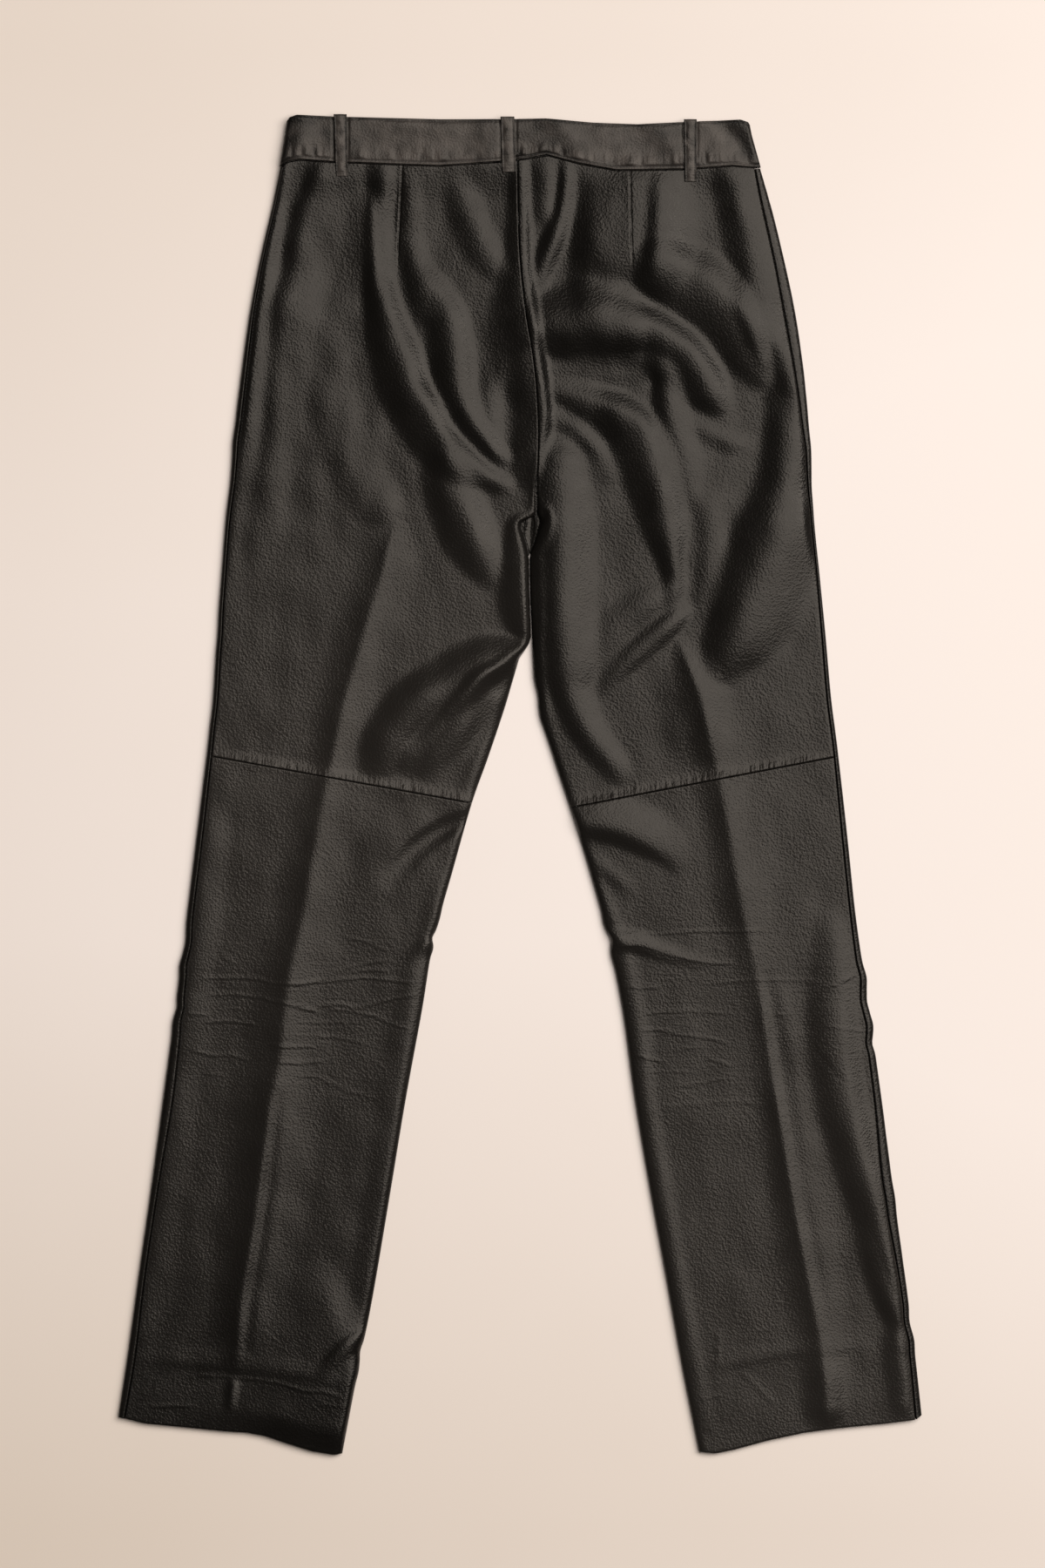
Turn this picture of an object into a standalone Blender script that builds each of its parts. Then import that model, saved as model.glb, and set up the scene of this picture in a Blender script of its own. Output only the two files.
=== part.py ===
"""Leather trousers lying flat on their front, back upward.

Frame: +X to the wearer's right, +Y from the hems to the waist, +Z up, origin at the middle of
the surface that the trousers lie on. Driving sizes are in millimetres and become metres at the end.
Each panel is a lofted sheet of sections across the garment, thickened by Solidify. A section runs
from one seam to the next round a flattened tube, and the folds are added to its upper face.
"""
import math
from collections import namedtuple

import bpy
import numpy as np

for thing in list(bpy.data.objects):
    bpy.data.objects.remove(thing)

GARMENT = bpy.data.collections.new("leather_trousers")
bpy.context.scene.collection.children.link(GARMENT)

MM = 0.001

# --- driving sizes, mm ---------------------------------------------------------------------
WALL = 1.3               # trouser leather, one thickness
BAND_WALL = 2.4          # waistband, two thicknesses and its stiffening
SEAM_GAP = 0.3           # between pieces sewn edge to edge or laid on each other
SIDE_GAP = 0.6           # at the side seam, whose edges lean towards each other
INSEAM_GAP = 1.15        # at the inseam, which turns under the leg on a tight bend
WAIST_GAP = 0.7          # at the waist seam, which curves
EDGE_STEP = 0.4          # first points in from a side seam or inseam, which square its cut edge
LAY_HEIGHT = 6.4         # underside of the front to the top of the back where nothing is folded
LAY_HEIGHT_AT_WAIST = 4.7
WAIST_LIFT = 2.8         # the front panels rise to meet the waistband
EDGE_ROUND = 6.0         # how far in from the outline the cloth takes to turn over
BEND_MARGIN = 1.6        # keeps the inside of a bend wider than the wall
BEND_POINTS = 8
MIN_INSIDE = 3.0         # outer faces never come closer than this, so the two walls stay clear

BAND_UNDERSIDE = 1.8
BAND_TOP = 8.5
BAND_ROUND = 4.2
BAND_JOINT_X = -9.0      # centre back seam of the waistband, under the centre loop
BAND_FRONT_X = 1.5       # where the two front ends meet
FRONT_DIP = 10.0         # the front waist is cut lower than the back
BAND_SIDE = {"left": (-187.4, -182.0), "right": (187.9, 179.4)}   # x at the seam and at the top
BAND_ROWS = (0.0, 0.35, 0.7, 1.0)
BAND_BACK_POINTS = 15
BAND_BEND_POINTS = 7
BAND_FRONT_POINTS = 10

LOOP_WALL = 1.6
BACK_LOOPS = {           # (left x, right x, y) at the top and at the foot
    "left": ((-145.2, -135.0, 522.0), (-143.6, -134.0, 474.2)),
    "centre": ((-15.2, -4.3, 522.0), (-14.0, -3.0, 477.4)),
    "right": ((127.8, 137.8, 522.0), (128.4, 137.6, 470.0)),
}
FRONT_LOOP_WALL = 1.4
FRONT_LOOP_X = 78.0
FRONT_LOOP_WIDTH = 10.0
FRONT_LOOP_FOOT = 9.0
UNDERLAP = (-18.0, 24.0, 3.0)    # its two ends along X and its margin to the band's edges
UNDERLAP_WALL = 1.2
BUTTON_DIAMETER = 15.0
BUTTON_WALL = 1.4
BUTTON_X = 11.0
ZIP_TAPE_WIDTH = 26.0
ZIP_TAPE_WALL = 0.9
ZIP_STATIONS = (0.18, 0.5, 1.0, 1.6, 2.2, 2.8, 3.4)
ZIP_SLIDER = (8.5, 11.0, 1.6)
ZIP_SLIDER_STATION = 1.1

# --- sections across each leg, from the side to the centre or the inseam -------------------
# inset: how far inside the outline the side seam lies on the upper face
# turn: how much of the inner edge the back panel covers, 0 at the centre seam, 1 all of it
Section = namedtuple("Section", "side_x side_y inner_x inner_y inset turn")

LEFT_LEG = [
    Section(-187.0, 483.0, -1.9, 486.5, 3.0, 0.0),      # waist seam
    Section(-193.8, 449.5, -1.4, 450.0, 3.0, 0.0),
    Section(-203.0, 409.0, 0.0, 412.0, 3.0, 0.0),
    Section(-210.8, 368.0, 4.6, 368.0, 3.4, 0.0),
    Section(-216.6, 327.0, 11.2, 327.0, 4.2, 0.0),
    Section(-221.7, 286.0, 14.3, 283.0, 4.6, 0.0),
    Section(-225.8, 245.0, 13.6, 243.0, 4.2, 0.0),
    Section(-229.8, 204.7, 8.3, 204.0, 3.6, 0.5),       # crotch
    Section(-233.0, 163.0, 7.0, 160.0, 3.6, 0.94),
    Section(-236.5, 118.0, 4.8, 112.0, 4.0, 0.94),
    Section(-239.4, 69.0, -11.0, 62.0, 4.0, 0.94),
    Section(-242.3, 43.0, -24.4, 22.0, 4.0, 0.94),
    Section(-244.5, 23.1, -37.3, -14.3, 4.2, 0.94),      # knee seam
    Section(-252.3, -40.0, -51.7, -65.0, 5.0, 0.94),
    Section(-260.3, -105.0, -67.0, -121.0, 5.0, 0.94),
    Section(-268.5, -170.0, -76.2, -176.0, 6.2, 0.94),
    Section(-278.5, -245.0, -89.0, -246.0, 8.0, 0.94),
    Section(-288.0, -316.0, -101.4, -321.0, 5.6, 0.94),
    Section(-298.0, -386.0, -114.6, -399.0, 5.2, 0.94),
    Section(-306.0, -444.0, -125.2, -452.0, 6.2, 0.94),
    Section(-313.5, -493.0, -138.4, -521.0, 5.2, 0.94),  # hem
]
RIGHT_LEG = [
    Section(187.4, 481.0, -1.9, 486.5, 4.6, 0.0),       # waist seam
    Section(196.5, 449.5, -1.4, 450.0, 7.6, 0.0),
    Section(206.4, 409.0, 0.0, 412.0, 8.6, 0.0),
    Section(214.9, 368.0, 4.6, 368.0, 9.3, 0.0),
    Section(221.0, 327.0, 11.2, 327.0, 8.0, 0.0),
    Section(225.1, 286.0, 14.3, 283.0, 6.0, 0.0),
    Section(227.8, 245.0, 13.6, 243.0, 4.0, 0.0),
    Section(229.8, 204.7, 9.3, 204.0, 2.6, 0.5),        # crotch
    Section(234.0, 163.0, 8.7, 160.0, 2.6, 0.94),
    Section(238.4, 118.0, 9.2, 112.0, 3.2, 0.94),
    Section(242.8, 69.0, 14.0, 62.0, 3.6, 0.94),
    Section(246.1, 43.0, 25.8, 22.0, 3.6, 0.94),
    Section(248.6, 22.4, 38.8, -17.7, 3.6, 0.94),        # knee seam
    Section(255.9, -43.0, 53.6, -65.0, 4.5, 0.94),
    Section(262.2, -103.0, 68.8, -121.0, 4.4, 0.94),
    Section(272.2, -172.0, 79.9, -176.0, 5.6, 0.94),
    Section(282.3, -245.0, 89.6, -246.0, 6.2, 0.94),
    Section(291.4, -316.0, 101.4, -316.0, 8.2, 0.94),
    Section(301.0, -386.0, 114.5, -388.0, 5.4, 0.94),
    Section(308.4, -444.0, 125.6, -450.0, 4.8, 0.94),
    Section(313.5, -491.0, 139.6, -520.5, 5.2, 0.94),    # hem
]
WAIST, CROTCH, KNEE, HEM = 0, 7, 12, 20

KNEE_GAP = SEAM_GAP / 2 / 63      # half a seam gap, in stations
NEAR_WAIST = [0, 0.16, 0.36]
UPPER_STATIONS = NEAR_WAIST + [k / 3 for k in range(2, 36)] + [KNEE - KNEE_GAP]
LOWER_STATIONS = (
    [KNEE + KNEE_GAP] + [KNEE + k / 5 for k in range(1, 5)] + [13 + k / 4 for k in range(4)]
    + [14 + k / 2 for k in range(13)])
FRONT_STATIONS = (
    NEAR_WAIST + [k / 2 for k in range(2, 12)] + [k / 3 for k in range(18, 24)]
    + [8 + k * 2 / 3 for k in range(6)] + [KNEE + k / 2 for k in range(6)] + [15, 16, 17, 18, 19, 20])
UPPER_COLUMNS, LOWER_COLUMNS, FRONT_COLUMNS = 16, 7, 3   # points between the two close ends
WAIST_LIFT_REACH = 0.9            # all of these in stations
LAY_HEIGHT_REACH = 0.45
END_REACH = 1.6
CROTCH_CURL = 0.7
STATION_AT_WAIST = 35.0           # one station there, in mm

# centre front seam: straight from the waist to the crotch
FRONT_CENTRE_AT_WAIST = 1.5

# heights of curved edges, as y at each x
Edge = namedtuple("Edge", "x y")
WAIST_SEAM = [
    Edge(-187.5, 482.0), Edge(-181.0, 485.6), Edge(-172.0, 487.4), Edge(-145.0, 485.6),
    Edge(-92.0, 483.6), Edge(-63.0, 482.6), Edge(-15.0, 485.8), Edge(4.0, 488.0),
    Edge(21.0, 491.0), Edge(45.0, 484.6), Edge(75.0, 479.2), Edge(127.0, 479.8),
    Edge(165.0, 482.6), Edge(188.0, 481.0),
]
BAND_TOP_EDGE = [
    Edge(-183.0, 516.0), Edge(-179.5, 520.4), Edge(-174.0, 522.2), Edge(-145.0, 521.0),
    Edge(-104.0, 519.9), Edge(-62.0, 518.8), Edge(-15.0, 518.9), Edge(20.0, 519.4),
    Edge(57.0, 516.2), Edge(92.0, 514.9), Edge(140.0, 517.3), Edge(172.0, 518.6),
    Edge(178.0, 516.6), Edge(181.0, 512.0),
]
LEFT_HEM = [
    Edge(-313.5, -493.0), Edge(-293.0, -498.2), Edge(-261.8, -501.2), Edge(-229.0, -504.5),
    Edge(-213.5, -505.4), Edge(-199.2, -508.0), Edge(-181.6, -514.0), Edge(-161.8, -520.1),
    Edge(-145.0, -522.8), Edge(-138.4, -521.4),
]
RIGHT_HEM = [
    Edge(139.6, -520.4), Edge(152.3, -521.6), Edge(166.6, -518.8), Edge(193.8, -511.4),
    Edge(221.7, -505.4), Edge(249.6, -501.8), Edge(284.2, -498.4), Edge(308.0, -495.4),
    Edge(313.5, -491.5),
]
# --- folds ---------------------------------------------------------------------------------
# Each fold is walked from its first row to its last. height: above the lie of the cloth, or
# below it where negative. left and right: how far it spreads to each hand of the walker.
Fold = namedtuple("Fold", "x y height left right")

FOLDS = {
    "left gutter rib": [
        Fold(-172, 480, 0, 9, 9), Fold(-186, 440, 2.2, 11, 9), Fold(-198, 385, 3.0, 12, 9),
        Fold(-205, 330, 3.0, 12, 9), Fold(-210, 270, 2.8, 12, 9), Fold(-214, 210, 1.8, 12, 9),
        Fold(-220, 150, 0.8, 12, 9), Fold(-226, 90, 0, 12, 9)],
    "left gutter": [
        Fold(-163, 478, 0, 8, 8), Fold(-175, 435, -2.0, 10, 10), Fold(-186, 385, -2.8, 10, 10),
        Fold(-191, 330, -2.4, 12, 10), Fold(-195, 270, -1.8, 12, 10), Fold(-199, 215, 0, 12, 10)],
    "left seat drag": [
        Fold(-108, 474, 0, 9, 18), Fold(-108, 440, 4.5, 9, 22), Fold(-107, 400, 6.5, 9, 26),
        Fold(-98, 358, 8.5, 11, 32), Fold(-82, 320, 9.5, 14, 38), Fold(-66, 288, 9.0, 14, 38),
        Fold(-48, 258, 7.0, 13, 34), Fold(-28, 239, 3.5, 12, 26), Fold(-10, 230, 0, 10, 18)],
    "left seat drag, lower": [
        Fold(-62, 262, 0, 14, 22), Fold(-50, 238, 4.5, 16, 26), Fold(-42, 214, 5.5, 18, 24),
        Fold(-34, 190, 4.5, 18, 20), Fold(-26, 166, 0, 16, 16)],
    "left seat centre": [
        Fold(-84, 446, 0, 14, 14), Fold(-76, 412, 3.0, 22, 16), Fold(-62, 386, 4.5, 22, 16),
        Fold(-50, 358, 6.0, 16, 11), Fold(-45, 322, 6.5, 15, 10), Fold(-41, 294, 6.0, 15, 10),
        Fold(-30, 268, 4.5, 14, 10), Fold(-10, 245, 0, 12, 10)],
    "left beside centre": [
        Fold(-38, 474, 0, 12, 10), Fold(-34, 442, 3.0, 15, 12), Fold(-27, 418, 4.0, 15, 12),
        Fold(-15, 396, 0, 12, 12)],
    "left hip crease": [
        Fold(-146, 320, 0, 18, 18), Fold(-142, 286, 2.0, 18, 16), Fold(-133, 252, 2.8, 20, 16),
        Fold(-116, 224, 3.2, 20, 18), Fold(-101, 200, 3.4, 26, 20), Fold(-111, 166, 3.4, 30, 20),
        Fold(-123, 122, 3.4, 32, 22), Fold(-136, 74, 3.2, 30, 24), Fold(-151, 14, 2.8, 24, 24),
        Fold(-166, -70, 2.8, 22, 24), Fold(-181, -150, 3.0, 22, 24), Fold(-190, -225, 3.4, 20, 26),
        Fold(-200, -290, 3.6, 18, 26), Fold(-209, -360, 3.6, 18, 26), Fold(-217, -420, 2.6, 18, 24),
        Fold(-224, -480, 0, 16, 20)],
    "left thigh hollow": [
        Fold(-12, 116, 0, 12, 10), Fold(-42, 103, -2.4, 14, 12), Fold(-76, 80, -3.0, 16, 14),
        Fold(-102, 54, -2.6, 16, 14), Fold(-116, 22, 0, 12, 12)],
    "left thigh fold": [
        Fold(4, 106, 2.0, 8, 8), Fold(-20, 93, 6.0, 9, 10), Fold(-44, 73, 6.5, 10, 12),
        Fold(-72, 49, 5.0, 10, 12), Fold(-98, 26, 0, 10, 12)],
    "left thigh fold, lower": [
        Fold(-16, 74, 0, 9, 8), Fold(-36, 50, 2.6, 12, 9), Fold(-60, 30, 2.4, 12, 9),
        Fold(-86, 8, 0, 12, 9)],
    "left knee pinch": [
        Fold(-46, -33, -2.4, 8, 8), Fold(-64, -38, -3.0, 7, 8), Fold(-84, -52, -2.6, 7, 8),
        Fold(-104, -76, 0, 7, 8)],
    "left knee rib": [
        Fold(-52, -50, 0, 8, 9), Fold(-62, -78, 2.2, 8, 12), Fold(-72, -112, 1.6, 8, 12),
        Fold(-82, -150, 1.6, 8, 12), Fold(-95, -250, 1.8, 8, 12), Fold(-110, -340, 1.8, 8, 12),
        Fold(-122, -420, 0, 8, 12)],
    "left hem pinch": [
        Fold(-123, -432, -2.0, 7, 7), Fold(-136, -440, -2.6, 6, 7), Fold(-148, -458, 0, 6, 6)],
    "centre welt": [
        Fold(2, 484, 0.6, 9, 5), Fold(3, 430, 1.6, 9, 5), Fold(7, 385, 1.8, 9, 6),
        Fold(13, 345, 2.2, 9, 6), Fold(19, 305, 2.2, 9, 6), Fold(20, 250, 1.6, 9, 6),
        Fold(18, 222, 0, 8, 6)],
    "right waist bulge": [
        Fold(21, 490, 0, 12, 11), Fold(21, 470, 4.5, 12, 10), Fold(21, 446, 4.0, 11, 10),
        Fold(20, 424, 0, 9, 9)],
    "right waist groove": [
        Fold(36, 478, 0, 8, 8), Fold(34, 452, -2.6, 8, 8), Fold(26, 420, -3.0, 9, 9),
        Fold(16, 392, -2.2, 8, 8), Fold(18, 366, 0, 8, 8)],
    "right dart ridge": [
        Fold(94, 478, 0, 8, 8), Fold(94, 445, 3.6, 10, 9), Fold(92, 412, 3.6, 10, 9),
        Fold(86, 382, 0, 10, 10)],
    "right hip hollow": [
        Fold(166, 474, 0, 12, 10), Fold(170, 436, -2.2, 12, 12), Fold(180, 396, -2.6, 12, 12),
        Fold(190, 356, -2.0, 12, 12), Fold(198, 326, 0, 12, 12)],
    "right seat drag": [
        Fold(22, 362, 1.5, 14, 14), Fold(56, 364, 5.0, 18, 12), Fold(84, 370, 6.5, 20, 13),
        Fold(112, 356, 8.5, 24, 15), Fold(138, 334, 8.0, 26, 16), Fold(158, 316, 5.5, 24, 14),
        Fold(188, 304, 0, 16, 12)],
    "right seat hollow": [
        Fold(18, 347, 0, 7, 7), Fold(50, 348, -2.6, 9, 9), Fold(90, 346, -3.0, 10, 9),
        Fold(122, 328, -2.8, 12, 10), Fold(150, 304, 0, 12, 10)],
    "right outer drag": [
        Fold(150, 384, 0, 14, 12), Fold(168, 354, 3.6, 16, 12), Fold(182, 326, 3.8, 14, 12),
        Fold(192, 300, 0, 12, 12)],
    "right seat ring": [
        Fold(24, 334, 2.0, 9, 8), Fold(60, 328, 3.4, 11, 9), Fold(98, 326, 4.6, 12, 9),
        Fold(116, 308, 5.0, 12, 10), Fold(126, 286, 4.8, 12, 10), Fold(146, 267, 4.8, 12, 12),
        Fold(168, 262, 4.6, 13, 14), Fold(184, 280, 3.0, 12, 12), Fold(192, 304, 0, 12, 12)],
    "right seat slope": [
        Fold(24, 304, 0, 10, 9), Fold(58, 299, 3.0, 13, 9), Fold(92, 286, 5.0, 14, 11),
        Fold(106, 262, 6.5, 13, 15), Fold(116, 228, 7.0, 12, 18), Fold(122, 190, 6.5, 11, 20),
        Fold(126, 160, 5.0, 11, 20), Fold(120, 142, 4.6, 12, 16), Fold(102, 127, 4.0, 14, 12),
        Fold(82, 106, 2.6, 14, 12), Fold(62, 84, 0, 12, 12)],
    "right hip ridge": [
        Fold(174, 276, 0, 12, 14), Fold(166, 244, 5.5, 16, 18), Fold(157, 206, 7.0, 18, 20),
        Fold(149, 168, 6.5, 18, 18), Fold(136, 134, 4.0, 18, 14), Fold(114, 112, 0, 16, 12)],
    "right long valley": [
        Fold(202, 336, 0, 10, 10), Fold(198, 280, -2.6, 12, 13), Fold(189, 224, -3.2, 14, 14),
        Fold(175, 168, -3.2, 14, 14), Fold(157, 124, -2.8, 13, 13), Fold(146, 84, 0, 12, 12)],
    "right side rib": [
        Fold(214, 312, 0, 10, 9), Fold(212, 262, 3.6, 10, 13), Fold(212, 212, 4.6, 11, 15),
        Fold(200, 168, 4.8, 16, 18), Fold(182, 124, 4.0, 18, 18), Fold(163, 84, 0, 18, 16)],
    "right lower side rib": [
        Fold(218, 160, 0, 9, 10), Fold(223, 112, 2.2, 9, 12), Fold(228, 62, 2.4, 9, 12),
        Fold(236, 6, 0, 9, 12)],
    "right leg crease": [
        Fold(124, 104, 0, 16, 16), Fold(134, 76, 2.6, 22, 20), Fold(146, 30, 3.2, 24, 22),
        Fold(160, -20, 3.0, 24, 22), Fold(172, -80, 2.8, 24, 22), Fold(184, -150, 2.8, 24, 22),
        Fold(198, -232, 3.4, 22, 24), Fold(212, -296, 3.8, 20, 26), Fold(224, -372, 3.6, 20, 26),
        Fold(233, -438, 2.6, 20, 24), Fold(241, -496, 0, 18, 20)],
    "right inner rib": [
        Fold(18, 214, 0, 7, 8), Fold(18, 180, 2.0, 7, 9), Fold(18, 120, 2.0, 7, 9),
        Fold(18, 70, 2.6, 7, 10), Fold(32, 36, 2.2, 8, 12), Fold(52, 0, 0, 8, 12)],
    "right knee pinch": [
        Fold(44, -33, -3.0, 8, 8), Fold(66, -38, -3.2, 8, 8), Fold(96, -50, -3.0, 8, 8),
        Fold(128, -67, 0, 7, 7)],
    "right calf pinch": [
        Fold(70, -125, -2.6, 7, 7), Fold(88, -125, -2.0, 6, 7), Fold(118, -135, 0, 6, 6)],
    "right calf hollow": [
        Fold(236, -180, 0, 12, 12), Fold(249, -250, -2.4, 13, 13), Fold(260, -320, -3.0, 12, 13),
        Fold(274, -384, -3.0, 9, 12), Fold(294, -420, 0, 7, 10)],
    "right calf side rib": [
        Fold(268, -210, 0, 8, 9), Fold(274, -280, 2.6, 8, 9), Fold(281, -340, 3.4, 8, 9),
        Fold(292, -392, 3.2, 7, 9), Fold(298, -432, 1.6, 7, 10), Fold(298, -478, 0, 8, 12)],
}

# folds fade out towards the waistband, the hem and the side, in stations and in mm
FADE_AT_WAIST = 0.4
FADE_AT_HEM = 0.4
FADE_AT_SIDE = 9.0
NARROWEST_FOLD = 9.0     # the sheet's own points are about this far apart
FOLD_STEPS = 6           # straight pieces between two rows of a fold


def spline(values, position):
    """Value at a position between rows, on a smooth curve through every row."""
    last = len(values) - 1
    low = int(min(max(math.floor(position), 0), last - 1))
    part = position - low
    before, start, end, after = (
        values[min(max(low + step, 0), last)] for step in (-1, 0, 1, 2))
    slope_in = (end - before) / 2
    slope_out = (after - start) / 2
    square = part * part
    cube = square * part
    return ((2 * cube - 3 * square + 1) * start + (cube - 2 * square + part) * slope_in
            + (3 * square - 2 * cube) * end + (cube - square) * slope_out)


def smooth(value):
    """0 below 0, 1 above 1 and an even turn between."""
    value = min(max(value, 0.0), 1.0)
    return value * value * (3 - 2 * value)


def edge_y(edge, x):
    """Height of a curved edge at x."""
    return float(np.interp(x, [point.x for point in edge], [point.y for point in edge]))


def walk(fold):
    """The fold's rows joined by a smooth line of short straight pieces."""
    steps = (len(fold) - 1) * FOLD_STEPS
    columns = list(zip(*fold))
    return np.array([
        [spline(column, index / FOLD_STEPS) for column in columns] for index in range(steps + 1)])


WALKS = [walk(fold) for fold in FOLDS.values()]


def relief(x, y):
    """Height that the folds add at one point of the upper face."""
    total = 0.0
    for line in WALKS:
        reach = line[:, 3:5].max() + 2
        inside_x = line[:, 0].min() - reach < x < line[:, 0].max() + reach
        inside_y = line[:, 1].min() - reach < y < line[:, 1].max() + reach
        if not (inside_x and inside_y):
            continue
        start, end = line[:-1], line[1:]
        along = end[:, :2] - start[:, :2]
        offset = np.array([x, y]) - start[:, :2]
        part = (offset * along).sum(1) / np.maximum((along ** 2).sum(1), 1e-9)
        part = np.clip(part, 0, 1)[:, None]
        miss = offset - part * along
        distance = np.hypot(miss[:, 0], miss[:, 1])
        nearest = int(distance.argmin())
        row = start[nearest] + part[nearest] * (end[nearest] - start[nearest])
        hand = along[nearest][0] * miss[nearest][1] - along[nearest][1] * miss[nearest][0]
        spread = max(row[3] if hand > 0 else row[4], NARROWEST_FOLD)
        share = distance[nearest] / spread
        if share < 1:
            total += row[2] * (1 - share * share) ** 2
    return total


def dip(x):
    """How far the front waist lies below the back at x."""
    half = WAIST_SEAM[-1].x
    return FRONT_DIP * (1 - min(abs(x) / half, 1.0) ** 2)


def seam_y(x, front):
    """Waist seam."""
    if front:
        ends = (WAIST_SEAM[0], WAIST_SEAM[-1])
        return edge_y(ends, x) - dip(x)
    return edge_y(WAIST_SEAM, x)


def top_y(x, front):
    """Upper edge of the waistband."""
    level = edge_y(BAND_TOP_EDGE, x)
    return level - dip(x) if front else level


# --- sections ------------------------------------------------------------------------------
def section_at(leg, station):
    return Section(*(spline(column, station) for column in zip(*leg)))


def front_lift(station):
    """The underside is flat on the surface and rises only to meet the waistband."""
    return WAIST_LIFT * (1 - smooth(station / WAIST_LIFT_REACH))


def lay_height(station):
    grown = smooth(station / LAY_HEIGHT_REACH)
    return LAY_HEIGHT_AT_WAIST + (LAY_HEIGHT - LAY_HEIGHT_AT_WAIST) * grown


def edge_round(station):
    half = lay_height(station) / 2
    return min(EDGE_ROUND, half * half / BEND_MARGIN)


def front_section(leg, station):
    """A section of the front, whose centre seam is straight down to the crotch."""
    section = section_at(leg, station)
    if station >= CROTCH:
        return section
    crotch_x = leg[CROTCH].inner_x
    centre = FRONT_CENTRE_AT_WAIST + (crotch_x - FRONT_CENTRE_AT_WAIST) * station / CROTCH
    return section._replace(inner_x=centre)


def bend(width, half, start, end, count):
    """Points (across, up) round a flattened edge, from one angle to another.

    Angle 0 is the top of the edge, pi / 2 its tip and pi its underside.
    """
    angles = np.linspace(start, end, count)
    return [(width * (1 - math.sin(angle)), half * (1 + math.cos(angle))) for angle in angles]


def back_path(section, station, width):
    """Points (across from the side, up) of the back, from the side seam to its inner end."""
    half = lay_height(station) / 2
    edge = edge_round(station)
    width -= SEAM_GAP / 2
    path = []
    if section.inset < edge:
        path += bend(edge, half, math.asin(1 - section.inset / edge), 0, BEND_POINTS)
    else:
        path.append((section.inset, 2 * half))
    turn = min(max(section.turn, 0.0), 1.0)
    inner = edge * min(1.0, 2 * turn)
    path.append((width - inner, 2 * half))
    if turn > 0:
        rounded = bend(inner, half, 0, math.pi * turn, 2 * BEND_POINTS)[1:]
        path += [(width - across, up) for across, up in rounded]
    return path


def front_path(section, station, width):
    """Points (across from the side, up) of the front, from its inner end to the side seam."""
    half = lay_height(station) / 2
    edge = edge_round(station)
    width -= SEAM_GAP / 2
    turn = min(max(section.turn, 0.0), 1.0)
    gap_angle = INSEAM_GAP / half
    if station < CROTCH:
        curl = smooth((station - CROTCH) / CROTCH_CURL + 1) / 2
        start = math.pi * (1 - curl) + gap_angle * 2 * curl
        inner = edge * 2 * curl
    else:
        start = math.pi * turn + gap_angle
        inner = edge
    if start < math.pi:
        rounded = bend(inner, half, start, math.pi, BEND_POINTS)
        path = [(width - across, up) for across, up in rounded]
    else:
        path = [(width - inner, 0.0)]
    seam = math.asin(1 - section.inset / edge) if section.inset < edge else 0
    path += bend(edge, half, math.pi, seam, 2 * BEND_POINTS)
    if section.inset > edge:
        path.append((section.inset, 2 * half))
    return path


def read_path(path, places):
    """Points at distances along a path."""
    corners = np.array(path)
    travelled = np.concatenate([[0], np.cumsum(np.hypot(*np.diff(corners, axis=0).T))])
    wanted = places(travelled[-1])
    across = np.interp(wanted, travelled, corners[:, 0])
    up = np.interp(wanted, travelled, corners[:, 1])
    return list(zip(across, up))


def back_places(middle):
    """Distances along the back: close together at the seam and the inner end, even between."""
    def places(total):
        start = [0, EDGE_STEP, 4.5, 9]
        end = [total - step for step in (12.6, 9.4, 6.2, 3.2, EDGE_STEP, 0)]
        return start + list(np.linspace(start[-1], end[0], middle + 2)[1:-1]) + end
    return places


def front_places(middle):
    """Distances along the front, which stops one gap short of the side seam."""
    def places(total):
        total -= SIDE_GAP
        start = [0, EDGE_STEP, 5]
        end = [total - step for step in (18, 14, 10.5, 7.5, 4.4, EDGE_STEP, 0)]
        return start + list(np.linspace(start[-1], end[0], middle + 2)[1:-1]) + end
    return places


def end_shift(leg, share, station, front):
    """How far a point moves along Y so that the waist and the hem take their curves."""
    first, last = leg[WAIST], leg[HEM]
    if station < END_REACH:
        inner_x = FRONT_CENTRE_AT_WAIST if front else first.inner_x
        x = first.side_x + (inner_x - first.side_x) * share
        y = first.side_y + (first.inner_y - first.side_y) * share
        return (seam_y(x, front) - WAIST_GAP / 2 - y) * (1 - smooth(station / END_REACH))
    if station > HEM - END_REACH:
        x = last.side_x + (last.inner_x - last.side_x) * share
        y = last.side_y + (last.inner_y - last.side_y) * share
        hem = LEFT_HEM if x < 0 else RIGHT_HEM
        return (edge_y(hem, x) - y) * (1 - smooth((HEM - station) / END_REACH))
    return 0.0


def place(leg, section, station, across, up, front):
    """World point of a place on a section, with its folds."""
    run = (section.inner_x - section.side_x, section.inner_y - section.side_y)
    share = across / math.hypot(*run)
    x = section.side_x + run[0] * share
    y = section.side_y + run[1] * share + end_shift(leg, share, station, front)
    z = front_lift(station) + up
    height = lay_height(station)
    if up > height / 2 and not front:
        weight = smooth(2 * up / height - 1)
        weight *= smooth(station / FADE_AT_WAIST) * smooth((HEM - station) / FADE_AT_HEM)
        weight *= smooth(across / FADE_AT_SIDE)
        z += max(relief(x, y) * weight, MIN_INSIDE - height)
    return x, y, z


# --- building ------------------------------------------------------------------------------
def leather(name, colour, roughness):
    made = bpy.data.materials.new(name)
    made.use_nodes = True
    shader = made.node_tree.nodes["Principled BSDF"]
    shader.inputs["Base Color"].default_value = (*colour, 1)
    shader.inputs["Roughness"].default_value = roughness
    return made


def metal(name, colour, roughness):
    made = leather(name, colour, roughness)
    made.node_tree.nodes["Principled BSDF"].inputs["Metallic"].default_value = 1
    return made


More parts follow.
